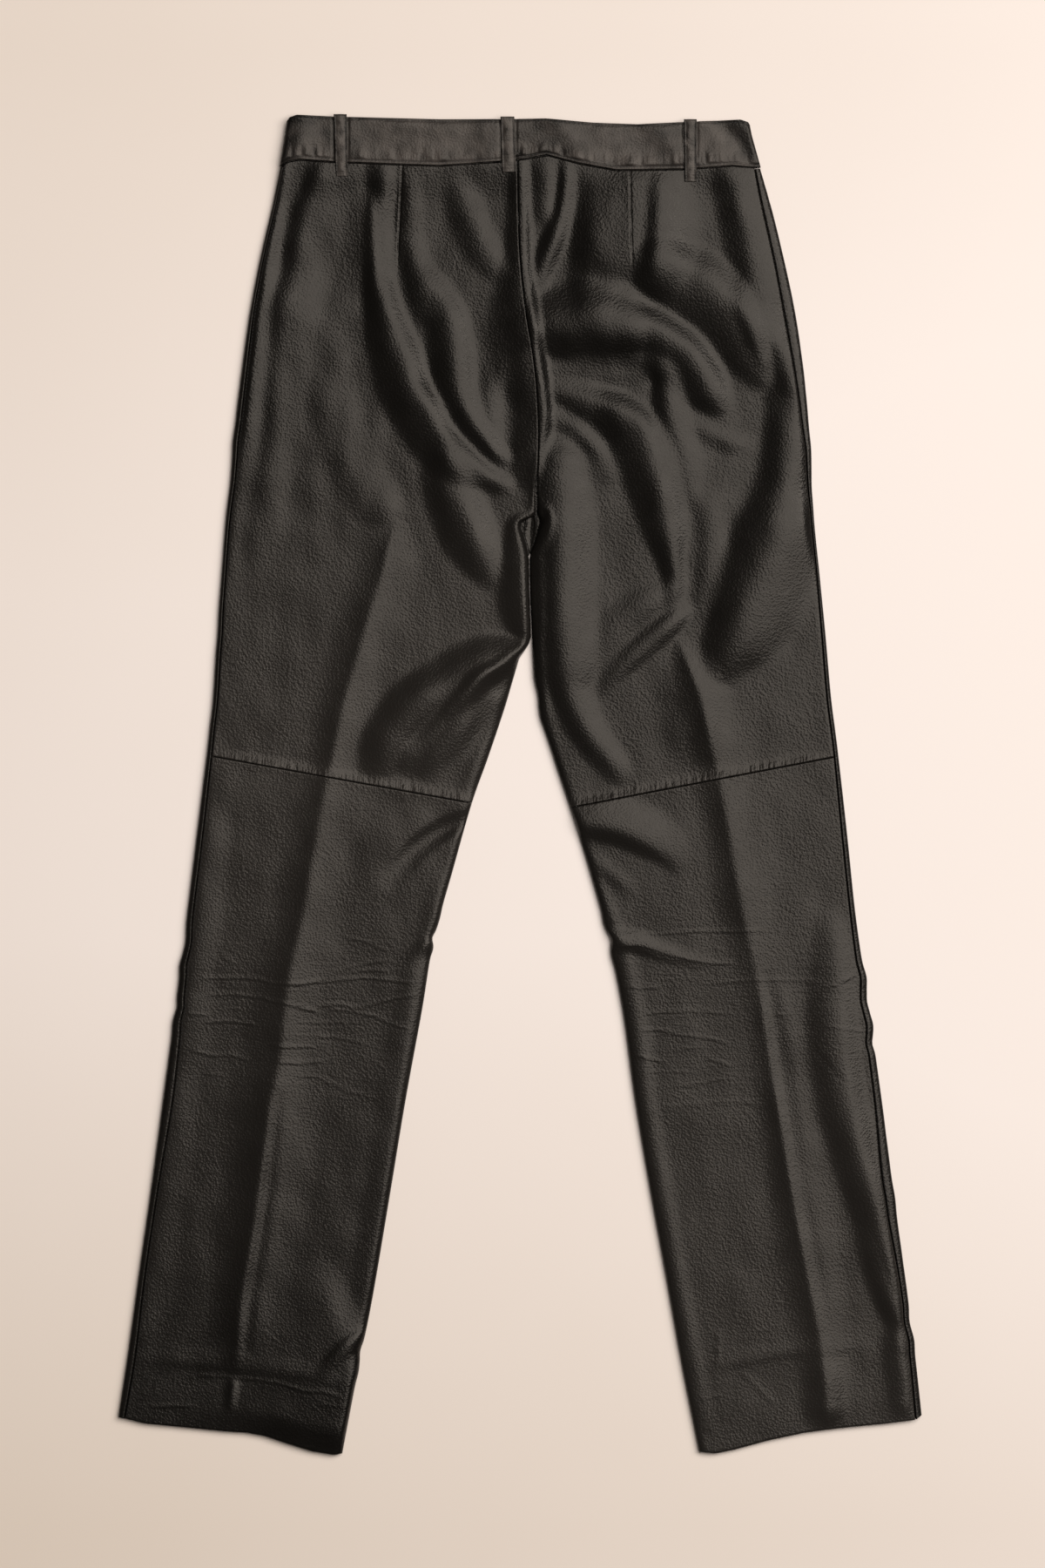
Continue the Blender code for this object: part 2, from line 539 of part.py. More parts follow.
def sheet(name, rows, wall, material, outward):
    """A lofted sheet through equal rows of points, thickened to its inner side.

    outward says that walking along a row and then on to the next one turns about the outside.
    """
    across = len(rows[0])
    points = [tuple(value * MM for value in point) for row in rows for point in row]
    faces = []
    for j in range(len(rows) - 1):
        for i in range(across - 1):
            corner = j * across + i
            face = (corner, corner + 1, corner + across + 1, corner + across)
            faces.append(face if outward else face[::-1])
    mesh = bpy.data.meshes.new(name)
    mesh.from_pydata(points, [], faces)
    mesh.shade_smooth()
    made = bpy.data.objects.new(name, mesh)
    GARMENT.objects.link(made)
    mesh.materials.append(material)
    shell = made.modifiers.new("thickness", "SOLIDIFY")
    shell.thickness = wall * MM
    shell.offset = -1
    return made


def panel(name, leg, stations, front, middle, material):
    """A back or front panel: one row of points for each station."""
    rows = []
    for station in stations:
        section = front_section(leg, station) if front else section_at(leg, station)
        width = math.hypot(section.inner_x - section.side_x, section.inner_y - section.side_y)
        if front:
            path = read_path(front_path(section, station, width), front_places(middle))
        else:
            path = read_path(back_path(section, station, width), back_places(middle))
        rows.append([place(leg, section, station, across, up, front) for across, up in path])
    return sheet(name, rows, WALL, material, outward=leg is RIGHT_LEG)


def waistband(name, side, material):
    """Half of the waistband, from its centre back seam round the side to its front end."""
    half = (BAND_TOP - BAND_UNDERSIDE) / 2
    low_x, high_x = BAND_SIDE[side]
    inward = 1 if side == "left" else -1
    rows = []
    for share in BAND_ROWS:
        side_x = low_x + (high_x - low_x) * share
        back = abs(BAND_JOINT_X - side_x) - SEAM_GAP / 2
        front = abs(BAND_FRONT_X - side_x) - SEAM_GAP / 2
        path = [(across, 2 * half, False)
                for across in np.linspace(back, BAND_ROUND, BAND_BACK_POINTS)[:-1]]
        rounded = bend(BAND_ROUND, half, 0, math.pi, BAND_BEND_POINTS)
        path += [(across, up, up < half) for across, up in rounded]
        path += [(across, 0.0, True)
                 for across in np.linspace(BAND_ROUND, front, BAND_FRONT_POINTS)[1:]]
        row = []
        for across, up, under in path:
            x = side_x + across * inward
            low = seam_y(x, under) + WAIST_GAP / 2
            row.append((x, low + (top_y(x, under) - low) * share, BAND_UNDERSIDE + up))
        rows.append(row)
    return sheet(name, rows, BAND_WALL, material, outward=side == "right")


def strip(name, rows, wall, material):
    """A flat band of leather or tape: rows of (left x, right x, y, z of its upper face)."""
    points = [[(left, y, z), ((left + right) / 2, y, z), (right, y, z)]
              for left, right, y, z in rows]
    return sheet(name, points, wall, material, outward=False)


def back_loop(name, top, foot, material):
    """A belt loop folded over the top of the waistband and tacked down below its seam.

    top and foot are (left x, right x, y) of its two ends.
    """
    middle = (top[0] + top[1]) / 2
    edge = top_y(middle, False)
    face = BAND_TOP + SEAM_GAP + LOOP_WALL
    station = (seam_y(middle, False) - foot[2]) / STATION_AT_WAIST
    foot_face = front_lift(station) + lay_height(station) + SEAM_GAP + LOOP_WALL
    seam = seam_y(middle, False)
    heights = [
        (edge + 1.9, face - 2.4), (edge + 1.8, face - 0.9), (edge + 1.1, face - 0.15),
        (edge - 1.0, face), (seam + 14, face), (seam, face), (foot[2], foot_face)]
    rows = []
    for y, z in heights:
        share = (edge - y) / (edge - foot[2])
        left = top[0] + (foot[0] - top[0]) * share
        right = top[1] + (foot[1] - top[1]) * share
        rows.append((left, right, y, z))
    return strip(name, rows, LOOP_WALL, material)


def front_loop(name, centre, material):
    """A belt loop under the front of the waistband, tacked above and below it."""
    half = FRONT_LOOP_WIDTH / 2
    seam = seam_y(centre, True)
    face = BAND_UNDERSIDE - SEAM_GAP
    foot_y = seam - FRONT_LOOP_FOOT
    foot_face = front_lift(FRONT_LOOP_FOOT / STATION_AT_WAIST) - SEAM_GAP
    rows = [(centre - half, centre + half, y, z) for y, z in (
        (top_y(centre, True), face), (seam, face), (foot_y, min(face, foot_face)))]
    return strip(name, rows, FRONT_LOOP_WALL, material)


def fly_zip(material):
    """The closed zip's tape, behind the centre front."""
    half = ZIP_TAPE_WIDTH / 2
    rows = []
    for station in ZIP_STATIONS:
        section = front_section(LEFT_LEG, station)
        x = section.inner_x
        y = section.inner_y + end_shift(LEFT_LEG, 1, station, True)
        z = front_lift(station) + WALL + SEAM_GAP + ZIP_TAPE_WALL
        rows.append((x - half, x + half, y, z))
    return strip("fly_zip", rows, ZIP_TAPE_WALL, material)


def waistband_underlap(material):
    """The tongue of the waistband behind the front opening, which takes the button."""
    low_x, high_x, margin = UNDERLAP
    z = BAND_UNDERSIDE + BAND_WALL + SEAM_GAP + UNDERLAP_WALL
    rows = [(low_x, high_x, y, z) for y in (
        top_y(BAND_FRONT_X, True) - margin, seam_y(BAND_FRONT_X, True) + margin)]
    return strip("waistband_underlap", rows, UNDERLAP_WALL, material)


def zip_slider(material):
    """The slider at the top of the closed zip."""
    width, length, height = ZIP_SLIDER
    section = front_section(LEFT_LEG, ZIP_SLIDER_STATION)
    y = section.inner_y + end_shift(LEFT_LEG, 1, ZIP_SLIDER_STATION, True)
    z = front_lift(ZIP_SLIDER_STATION) + WALL + ZIP_TAPE_WALL + 2 * SEAM_GAP + height / 2
    bpy.ops.mesh.primitive_cube_add(size=1, location=(section.inner_x * MM, y * MM, z * MM))
    made = bpy.context.object
    made.scale = (width * MM, length * MM, height * MM)
    return finish_hard("zip_slider", made, 0.4, material)


def waist_button(material):
    """The button on the outer face of the waistband, beside the front opening."""
    y = (top_y(BUTTON_X, True) + seam_y(BUTTON_X, True)) / 2
    z = BAND_UNDERSIDE - SEAM_GAP - BUTTON_WALL / 2
    bpy.ops.mesh.primitive_cylinder_add(
        vertices=24, radius=BUTTON_DIAMETER / 2 * MM, depth=BUTTON_WALL * MM,
        location=(BUTTON_X * MM, y * MM, z * MM))
    return finish_hard("waist_button", bpy.context.object, 0.35, material)


def finish_hard(name, made, rounding, material):
    """Names a hard piece, rounds its edges and puts it with the garment."""
    made.name = name
    made.data.name = name
    for collection in list(made.users_collection):
        collection.objects.unlink(made)
    GARMENT.objects.link(made)
    bpy.ops.object.transform_apply(location=False, rotation=False, scale=True)
    made.data.materials.append(material)
    rounded = made.modifiers.new("rounding", "BEVEL")
    rounded.width = rounding * MM
    rounded.segments = 1
    return made


# --- the garment ---------------------------------------------------------------------------
BLACK_LEATHER = leather("black_leather", (0.020, 0.018, 0.017), 0.42)
BAND_LEATHER = leather("band_leather", (0.024, 0.022, 0.020), 0.40)
ZIP_TAPE = leather("zip_tape", (0.012, 0.012, 0.012), 0.85)
DARK_METAL = metal("dark_metal", (0.10, 0.095, 0.09), 0.38)

for side, leg in (("left", LEFT_LEG), ("right", RIGHT_LEG)):
    panel(f"back_{side}_upper", leg, UPPER_STATIONS, False, UPPER_COLUMNS, BLACK_LEATHER)
    panel(f"back_{side}_lower", leg, LOWER_STATIONS, False, LOWER_COLUMNS, BLACK_LEATHER)
    panel(f"front_{side}", leg, FRONT_STATIONS, True, FRONT_COLUMNS, BLACK_LEATHER)
    waistband(f"waistband_{side}", side, BAND_LEATHER)

for loop_name, (top, foot) in BACK_LOOPS.items():
    back_loop(f"belt_loop_back_{loop_name}", top, foot, BAND_LEATHER)
for side, centre in (("left", -FRONT_LOOP_X), ("right", FRONT_LOOP_X)):
    front_loop(f"belt_loop_front_{side}", centre, BAND_LEATHER)

waistband_underlap(BAND_LEATHER)
fly_zip(ZIP_TAPE)
zip_slider(DARK_METAL)
waist_button(DARK_METAL)
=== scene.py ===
"""The looks of black leather trousers that lie flat on their front, with the back up.

The file follows the trousers as they are put together: the back panels, the front panels, the
waistband, its loops and its closing, the sewing, and last the studio. Sizes are in millimetres, and
become metres where a piece's points are laid.
"""
import math
from collections import namedtuple

import bmesh
import bpy
import numpy as np
from mathutils import Matrix, Vector, noise
from mathutils.bvhtree import BVHTree


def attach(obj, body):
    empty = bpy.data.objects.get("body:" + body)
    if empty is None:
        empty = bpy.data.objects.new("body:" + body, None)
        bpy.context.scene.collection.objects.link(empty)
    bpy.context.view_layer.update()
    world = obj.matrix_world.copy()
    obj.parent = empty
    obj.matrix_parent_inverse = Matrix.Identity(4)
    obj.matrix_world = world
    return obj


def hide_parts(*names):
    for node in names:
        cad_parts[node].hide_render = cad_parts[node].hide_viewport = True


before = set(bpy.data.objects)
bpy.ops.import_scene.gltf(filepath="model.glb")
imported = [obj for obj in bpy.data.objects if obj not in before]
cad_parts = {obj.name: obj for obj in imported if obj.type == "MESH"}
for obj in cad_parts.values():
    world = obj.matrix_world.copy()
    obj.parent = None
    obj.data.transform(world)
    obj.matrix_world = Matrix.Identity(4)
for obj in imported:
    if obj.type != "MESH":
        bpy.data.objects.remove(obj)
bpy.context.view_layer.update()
MM = 0.001


# --- Back panels ---------------------------------------------------------------------------
# Each leg's back is cut in two and joined by a seam across the knee. The hide is a soft nappa,
# dyed black and lightly finished, with a fine pebble grain that shows where it is pulled up.
def add_node(tree, kind, inputs=None, **settings):
    """A shader node, with its settings and with a value or a link for each named input."""
    made = tree.nodes.new(kind)
    for key, value in settings.items():
        setattr(made, key, value)
    for socket, value in (inputs or {}).items():
        if isinstance(value, bpy.types.NodeSocket):
            tree.links.new(value, made.inputs[socket])
        else:
            made.inputs[socket].default_value = value
    return made


def blend_colours(tree, share, first, second):
    """A colour between two, by a share from 0 to 1."""
    mix = add_node(tree, "ShaderNodeMix", data_type="RGBA")
    for socket, value in ((0, share), (6, first), (7, second)):
        if isinstance(value, bpy.types.NodeSocket):
            tree.links.new(value, mix.inputs[socket])
        else:
            mix.inputs[socket].default_value = value if socket == 0 else (*value, 1)
    return mix.outputs[2]


def to_range(tree, value, low, high, new_low, new_high):
    """A value spread evenly from one range onto another."""
    spread = add_node(tree, "ShaderNodeMapRange", {
        "Value": value, "From Min": low, "From Max": high, "To Min": new_low, "To Max": new_high})
    return spread.outputs["Result"]


def multiply(tree, first, second):
    """The product of two values."""
    return add_node(tree, "ShaderNodeMath", {0: first, 1: second}, operation="MULTIPLY").outputs[0]


def raised(tree, height, distance, strength, below=None):
    """A bump of some height in metres, laid over the one below it."""
    inputs = {"Height": height, "Distance": distance, "Strength": strength}
    if below is not None:
        inputs["Normal"] = below
    return add_node(tree, "ShaderNodeBump", inputs).outputs["Normal"]


def stretched_noise(tree, coords, scale, detail):
    """Noise with its own scale, in cells a metre, along each axis."""
    mapping = add_node(tree, "ShaderNodeMapping", {"Vector": coords, "Scale": scale})
    made = add_node(tree, "ShaderNodeTexNoise", {
        "Vector": mapping.outputs["Vector"], "Scale": 1.0, "Detail": detail, "Roughness": 0.55})
    return made.outputs["Fac"]


def new_material(name):
    """A material, and its node tree, its shader and the coordinates of its object."""
    made = bpy.data.materials.new(name)
    made.use_nodes = True
    tree = made.node_tree
    coords = add_node(tree, "ShaderNodeTexCoord").outputs["Object"]
    return made, tree, tree.nodes["Principled BSDF"], coords


UNEVEN_FINISH = 0.035    # how much duller and glossier its roughness gets in patches


def nappa(name, dye, paler_dye, roughness):
    """The hide: a pebble grain, soft pores, and puckers and fine wrinkles where the mesh asks."""
    made, tree, shader, coords = new_material(name)
    clouds = stretched_noise(tree, coords, scale=(9, 9, 9), detail=4)
    # This mask lifts the dye towards the paler one: where the hide is rubbed, and also where light, shade
    # and highlights are painted on.
    wear_and_painted_light = add_node(tree, "ShaderNodeAttribute", attribute_name="wear_and_painted_light").outputs["Fac"]
    dyed = blend_colours(tree, to_range(tree, clouds, 0.35, 0.7, 0.0, 0.14), dye, paler_dye)
    colour = blend_colours(tree, wear_and_painted_light, dyed, paler_dye)
    tree.links.new(colour, shader.inputs["Base Color"])

    pebbles = add_node(tree, "ShaderNodeTexVoronoi", {
        "Vector": coords, "Scale": 620.0, "Smoothness": 0.6}, feature="SMOOTH_F1")
    speckle = stretched_noise(tree, coords, scale=(1500, 1500, 1500), detail=2)
    patchy = stretched_noise(tree, coords, scale=(55, 55, 55), detail=3)
    rough = add_node(tree, "ShaderNodeMath", {
        0: to_range(tree, patchy, 0.3, 0.7, roughness - UNEVEN_FINISH, roughness + UNEVEN_FINISH),
        1: to_range(tree, speckle, 0.3, 0.7, -0.03, 0.03)}, operation="ADD")
    tree.links.new(rough.outputs[0], shader.inputs["Roughness"])
    shader.inputs["Specular IOR Level"].default_value = 0.19
    shader.inputs["Specular Tint"].default_value = (1.0, 0.915, 0.82, 1)

    pucker = add_node(tree, "ShaderNodeAttribute", attribute_name="pucker").outputs["Fac"]
    crepe = add_node(tree, "ShaderNodeAttribute", attribute_name="crepe").outputs["Fac"]
    upright = stretched_noise(tree, coords, scale=(250, 42, 60), detail=3)
    level = stretched_noise(tree, coords, scale=(26, 330, 60), detail=4)
    normal = None
    for height, distance, strength in (
            (multiply(tree, upright, pucker), 0.0032, 1.0), (multiply(tree, level, crepe), 0.0005, 1.0),
            (patchy, 0.0008, 0.05), (pebbles.outputs["Distance"], 0.00030, 0.6), (speckle, 0.00008, 0.45)):
        normal = raised(tree, height, distance, strength, below=normal)
    tree.links.new(normal, shader.inputs["Normal"])
    return made


BLACK_NAPPA = nappa("black_nappa", dye=(0.0030, 0.0026, 0.0022), paler_dye=(0.0200, 0.0171, 0.0147),
                    roughness=0.290)


def add_object(name, shape, material):
    """An object made from a bmesh, which it frees."""
    mesh = bpy.data.meshes.new(name)
    shape.to_mesh(mesh)
    shape.free()
    mesh.materials.append(material)
    made = bpy.data.objects.new(name, mesh)
    bpy.context.scene.collection.objects.link(made)
    return made


def lengths_along(points):
    """How far each point of a line is from its first."""
    steps = np.diff(np.array(points, dtype=float), axis=0)
    return np.concatenate([[0], np.cumsum(np.hypot(*steps.T))])


# How the legs lie: sections from the side to the centre back or the inseam, from waist to hem.
# inset is how far inside the outline the side seam lies on the upper face. turn is how much of
# the inner edge the back covers, 0 at the centre seam and near 1 down the legs.
Section = namedtuple("Section", "side_x side_y inner_x inner_y inset turn")

LEFT_LEG = [
    Section(-187.0, 483.0, -1.9, 486.5, 3.0, 0.0),      # waist seam
    Section(-193.8, 449.5, -1.4, 450.0, 3.0, 0.0),
    Section(-203.0, 409.0, 0.0, 412.0, 3.0, 0.0),
    Section(-210.8, 368.0, 4.6, 368.0, 3.4, 0.0),
    Section(-216.6, 327.0, 11.2, 327.0, 4.2, 0.0),
    Section(-221.7, 286.0, 14.3, 283.0, 4.6, 0.0),
    Section(-225.8, 245.0, 13.6, 243.0, 4.2, 0.0),
    Section(-229.8, 204.7, 8.3, 204.0, 3.6, 0.5),       # crotch
    Section(-233.0, 163.0, 7.0, 160.0, 3.6, 0.94),
    Section(-236.5, 118.0, 4.8, 112.0, 4.0, 0.94),
    Section(-239.4, 69.0, -11.0, 62.0, 4.0, 0.94),
    Section(-242.3, 43.0, -24.4, 22.0, 4.0, 0.94),
    Section(-244.5, 23.1, -37.3, -14.3, 4.2, 0.94),      # knee seam
    Section(-252.3, -40.0, -51.7, -65.0, 5.0, 0.94),
    Section(-260.3, -105.0, -67.0, -121.0, 5.0, 0.94),
    Section(-268.5, -170.0, -76.2, -176.0, 6.2, 0.94),
    Section(-278.5, -245.0, -89.0, -246.0, 8.0, 0.94),
    Section(-288.0, -316.0, -101.4, -321.0, 5.6, 0.94),
    Section(-298.0, -386.0, -114.6, -399.0, 5.2, 0.94),
    Section(-306.0, -444.0, -125.2, -452.0, 6.2, 0.94),
    Section(-313.5, -493.0, -138.4, -521.0, 5.2, 0.94),  # hem
]
RIGHT_LEG = [
    Section(187.4, 481.0, -1.9, 486.5, 4.6, 0.0),       # waist seam
    Section(196.5, 449.5, -1.4, 450.0, 7.6, 0.0),
    Section(206.4, 409.0, 0.0, 412.0, 8.6, 0.0),
    Section(214.9, 368.0, 4.6, 368.0, 9.3, 0.0),
    Section(221.0, 327.0, 11.2, 327.0, 8.0, 0.0),
    Section(225.1, 286.0, 14.3, 283.0, 6.0, 0.0),
    Section(227.8, 245.0, 13.6, 243.0, 4.0, 0.0),
    Section(229.8, 204.7, 9.3, 204.0, 2.6, 0.5),        # crotch
    Section(234.0, 163.0, 8.7, 160.0, 2.6, 0.94),
    Section(238.4, 118.0, 9.2, 112.0, 3.2, 0.94),
    Section(242.8, 69.0, 14.0, 62.0, 3.6, 0.94),
    Section(246.1, 43.0, 25.8, 22.0, 3.6, 0.94),
    Section(248.6, 22.4, 38.8, -17.7, 3.6, 0.94),        # knee seam
    Section(255.9, -43.0, 53.6, -65.0, 4.5, 0.94),
    Section(262.2, -103.0, 68.8, -121.0, 4.4, 0.94),
    Section(272.2, -172.0, 79.9, -176.0, 5.6, 0.94),
    Section(282.3, -245.0, 89.6, -246.0, 6.2, 0.94),
    Section(291.4, -316.0, 101.4, -316.0, 8.2, 0.94),
    Section(301.0, -386.0, 114.5, -388.0, 5.4, 0.94),
    Section(308.4, -444.0, 125.6, -450.0, 4.8, 0.94),
    Section(313.5, -491.0, 139.6, -520.5, 5.2, 0.94),    # hem
]
WAIST, CROTCH, KNEE, HEM = 0, 7, 12, 20

WALL = 1.3               # one thickness of hide
SEAM_GAP = 0.3
SIDE_GAP = 0.6
INSEAM_GAP = 1.15
WAIST_GAP = 0.7
LAY_HEIGHT = 6.4         # underside of the front to the top of the back, away from the folds
LAY_HEIGHT_AT_WAIST = 5.5
WAIST_LIFT = 2.8         # the panels rise to the waistband
EDGE_ROUND = 6.0         # how far in from the outline the hide takes to turn over
BEND_MARGIN = 1.6        # the tightest radius that it bends on there
MIN_INSIDE = 3.0         # keeps the back's wall clear of the front's
BEND_POINTS = 24
WAIST_LIFT_REACH = 0.9   # these four in stations
LAY_HEIGHT_REACH = 0.9
END_REACH = 1.6
CROTCH_CURL = 0.7

Edge = namedtuple("Edge", "x y")
WAIST_SEAM = [
    Edge(-187.5, 482.0), Edge(-181.0, 485.6), Edge(-172.0, 487.4), Edge(-145.0, 485.6),
    Edge(-92.0, 483.6), Edge(-63.0, 482.6), Edge(-15.0, 485.8), Edge(4.0, 488.0),
    Edge(21.0, 491.0), Edge(45.0, 484.6), Edge(75.0, 479.2), Edge(127.0, 479.8),
    Edge(165.0, 482.6), Edge(188.0, 481.0),
]
BAND_TOP_EDGE = [
    Edge(-183.0, 516.0), Edge(-179.5, 520.4), Edge(-174.0, 522.2), Edge(-145.0, 521.0),
    Edge(-104.0, 519.9), Edge(-62.0, 518.8), Edge(-15.0, 518.9), Edge(20.0, 519.4),
    Edge(57.0, 516.2), Edge(92.0, 514.9), Edge(140.0, 517.3), Edge(172.0, 518.6),
    Edge(178.0, 516.6), Edge(181.0, 512.0),
]
LEFT_HEM = [
    Edge(-313.5, -493.0), Edge(-293.0, -498.2), Edge(-261.8, -501.2), Edge(-229.0, -504.5),
    Edge(-213.5, -505.4), Edge(-199.2, -508.0), Edge(-181.6, -514.0), Edge(-161.8, -520.1),
    Edge(-145.0, -522.8), Edge(-138.4, -521.4),
]
RIGHT_HEM = [
    Edge(139.6, -520.4), Edge(152.3, -521.6), Edge(166.6, -518.8), Edge(193.8, -511.4),
    Edge(221.7, -505.4), Edge(249.6, -501.8), Edge(284.2, -498.4), Edge(308.0, -495.4),
    Edge(313.5, -491.5),
]
FRONT_DIP = 10.0         # how far the front waist dips below the back at its middle
FRONT_CENTRE_AT_WAIST = 1.5


def spline(values, position):
    """Value at a position between rows, on a smooth curve through every row."""
    last = len(values) - 1
    low = int(min(max(math.floor(position), 0), last - 1))
    part = position - low
    before, start, end, after = (
        values[min(max(low + step, 0), last)] for step in (-1, 0, 1, 2))
    slope_in, slope_out = (end - before) / 2, (after - start) / 2
    square, cube = part ** 2, part ** 3
    return ((2 * cube - 3 * square + 1) * start + (cube - 2 * square + part) * slope_in
            + (3 * square - 2 * cube) * end + (cube - square) * slope_out)


def smooth(value):
    """0 below 0, 1 above 1 and an even turn between."""
    value = np.clip(value, 0.0, 1.0)
    return value * value * (3 - 2 * value)


def rising(value, start, reach):
    """0 up to a start and 1 once the value is its reach past it."""
    return smooth((value - start) / reach)


def hill(distance, reach):
    """1 where the distance is 0, and falling away softly to both sides."""
    return np.exp(-(distance / reach) ** 2)


def edge_y(edge, x):
    """How far up a curved edge lies at x."""
    return np.interp(x, [point.x for point in edge], [point.y for point in edge])


def dip(x):
    """How far the front waist lies below the back."""
    return FRONT_DIP * (1 - np.minimum(np.abs(x) / WAIST_SEAM[-1].x, 1.0) ** 2)


def seam_y(x, front):
    """The waist seam. The front's runs straight between the two sides, but for its dip."""
    if front:
        return edge_y((WAIST_SEAM[0], WAIST_SEAM[-1]), x) - dip(x)
    return edge_y(WAIST_SEAM, x)


def section_at(leg, station, front=False):
    """The leg's section. The front's centre seam runs straight down to the crotch."""
    section = Section(*(spline(column, station) for column in zip(*leg)))
    if front and station < CROTCH:
        crotch_x = leg[CROTCH].inner_x
        centre = FRONT_CENTRE_AT_WAIST + (crotch_x - FRONT_CENTRE_AT_WAIST) * station / CROTCH
        section = section._replace(inner_x=centre)
    return section


def bend(width, half, start, end):
    """Points (across, up) round a flattened edge: 0 is its top, pi / 2 its tip, pi its underside."""
    return [(width * (1 - math.sin(angle)), half * (1 + math.cos(angle)))
            for angle in np.linspace(start, end, BEND_POINTS)]


def lie(station):
    """Half the height of the flattened leg, the width of its edge, and its lift off the surface."""
    grown = smooth(station / LAY_HEIGHT_REACH)
    half = (LAY_HEIGHT_AT_WAIST + (LAY_HEIGHT - LAY_HEIGHT_AT_WAIST) * grown) / 2
    lift = WAIST_LIFT * (1 - smooth(station / WAIST_LIFT_REACH))
    return half, min(EDGE_ROUND, half * half / BEND_MARGIN), lift


def back_path(section, station, width):
    """The back's path (across, up) from the side seam over the leg to the centre or inseam."""
    half, edge, _ = lie(station)
    width -= SEAM_GAP / 2
    if section.inset < edge:
        path = bend(edge, half, math.asin(1 - section.inset / edge), 0)
    else:
        path = [(section.inset, 2 * half)]
    turn = min(max(section.turn, 0.0), 1.0)
    inner = edge * min(1.0, 2 * turn)
    path.append((width - inner, 2 * half))
    if turn > 0:
        path += [(width - across, up) for across, up in bend(inner, half, 0, math.pi * turn)[1:]]
    return path


def front_path(section, station, width):
    """The front's path from the centre or inseam, under the leg and round its side to the seam."""
    half, edge, _ = lie(station)
    width -= SEAM_GAP / 2
    gap_angle = INSEAM_GAP / half
    if station < CROTCH:
        curl = smooth((station - CROTCH) / CROTCH_CURL + 1) / 2
        start = math.pi * (1 - curl) + gap_angle * 2 * curl
        inner = edge * 2 * curl
    else:
        start = math.pi * min(max(section.turn, 0.0), 1.0) + gap_angle
        inner = edge
    if start < math.pi:
        path = [(width - across, up) for across, up in bend(inner, half, start, math.pi)]
    else:
        path = [(width - inner, 0.0)]
    seam = math.asin(1 - section.inset / edge) if section.inset < edge else 0
    path += bend(edge, half, math.pi, seam)
    if section.inset > edge:
        path.append((section.inset, 2 * half))
    return path


def end_shift(leg, share, station, front):
    """How far points move along Y so that the waist and the hem take their curves."""
    first, last = leg[WAIST], leg[HEM]
    if station < END_REACH:
        inner_x = FRONT_CENTRE_AT_WAIST if front else first.inner_x
        x = first.side_x + (inner_x - first.side_x) * share
        y = first.side_y + (first.inner_y - first.side_y) * share
        return (seam_y(x, front) - WAIST_GAP / 2 - y) * (1 - smooth(station / END_REACH))
    if station > HEM - END_REACH:
        x = last.side_x + (last.inner_x - last.side_x) * share
        y = last.side_y + (last.inner_y - last.side_y) * share
        hem = LEFT_HEM if leg is LEFT_LEG else RIGHT_HEM
        return (edge_y(hem, x) - y) * (1 - smooth((HEM - station) / END_REACH))
    return 0 * share


def lay_row(leg, station, places, front):
    """One row of a panel: its points' x, y and z, how far each is along the path, and its length."""
    section = section_at(leg, station, front)
    run_x, run_y = section.inner_x - section.side_x, section.inner_y - section.side_y
    width = math.hypot(run_x, run_y)
    corners = np.array((front_path if front else back_path)(section, station, width))
    travelled = lengths_along(corners)
    total = travelled[-1] - (SIDE_GAP if front else 0)
    along = places(total)
    across = np.interp(along, travelled, corners[:, 0])
    up = np.interp(along, travelled, corners[:, 1])
    share = across / width
    half, _, lift = lie(station)
    return {
        "x": section.side_x + run_x * share,
        "y": section.side_y + run_y * share + end_shift(leg, share, station, front),
        "z": lift + up, "top": smooth(up / half - 1), "floor": MIN_INSIDE - 2 * half + 0 * up,
        "across": across, "along": along, "total": total + 0 * up, "station": station + 0 * up}


# How the hide is rumpled. A fold is walked from its first row to its last: height is above the lie
# of the leather, or below it, and left and right say how far it spreads to each hand of the walker.
# A soft fold is round on top. A crisp one is pressed: its flanks start right at its line. The columns
# of a row are:
X, Y, HEIGHT, LEFT, RIGHT = range(5)

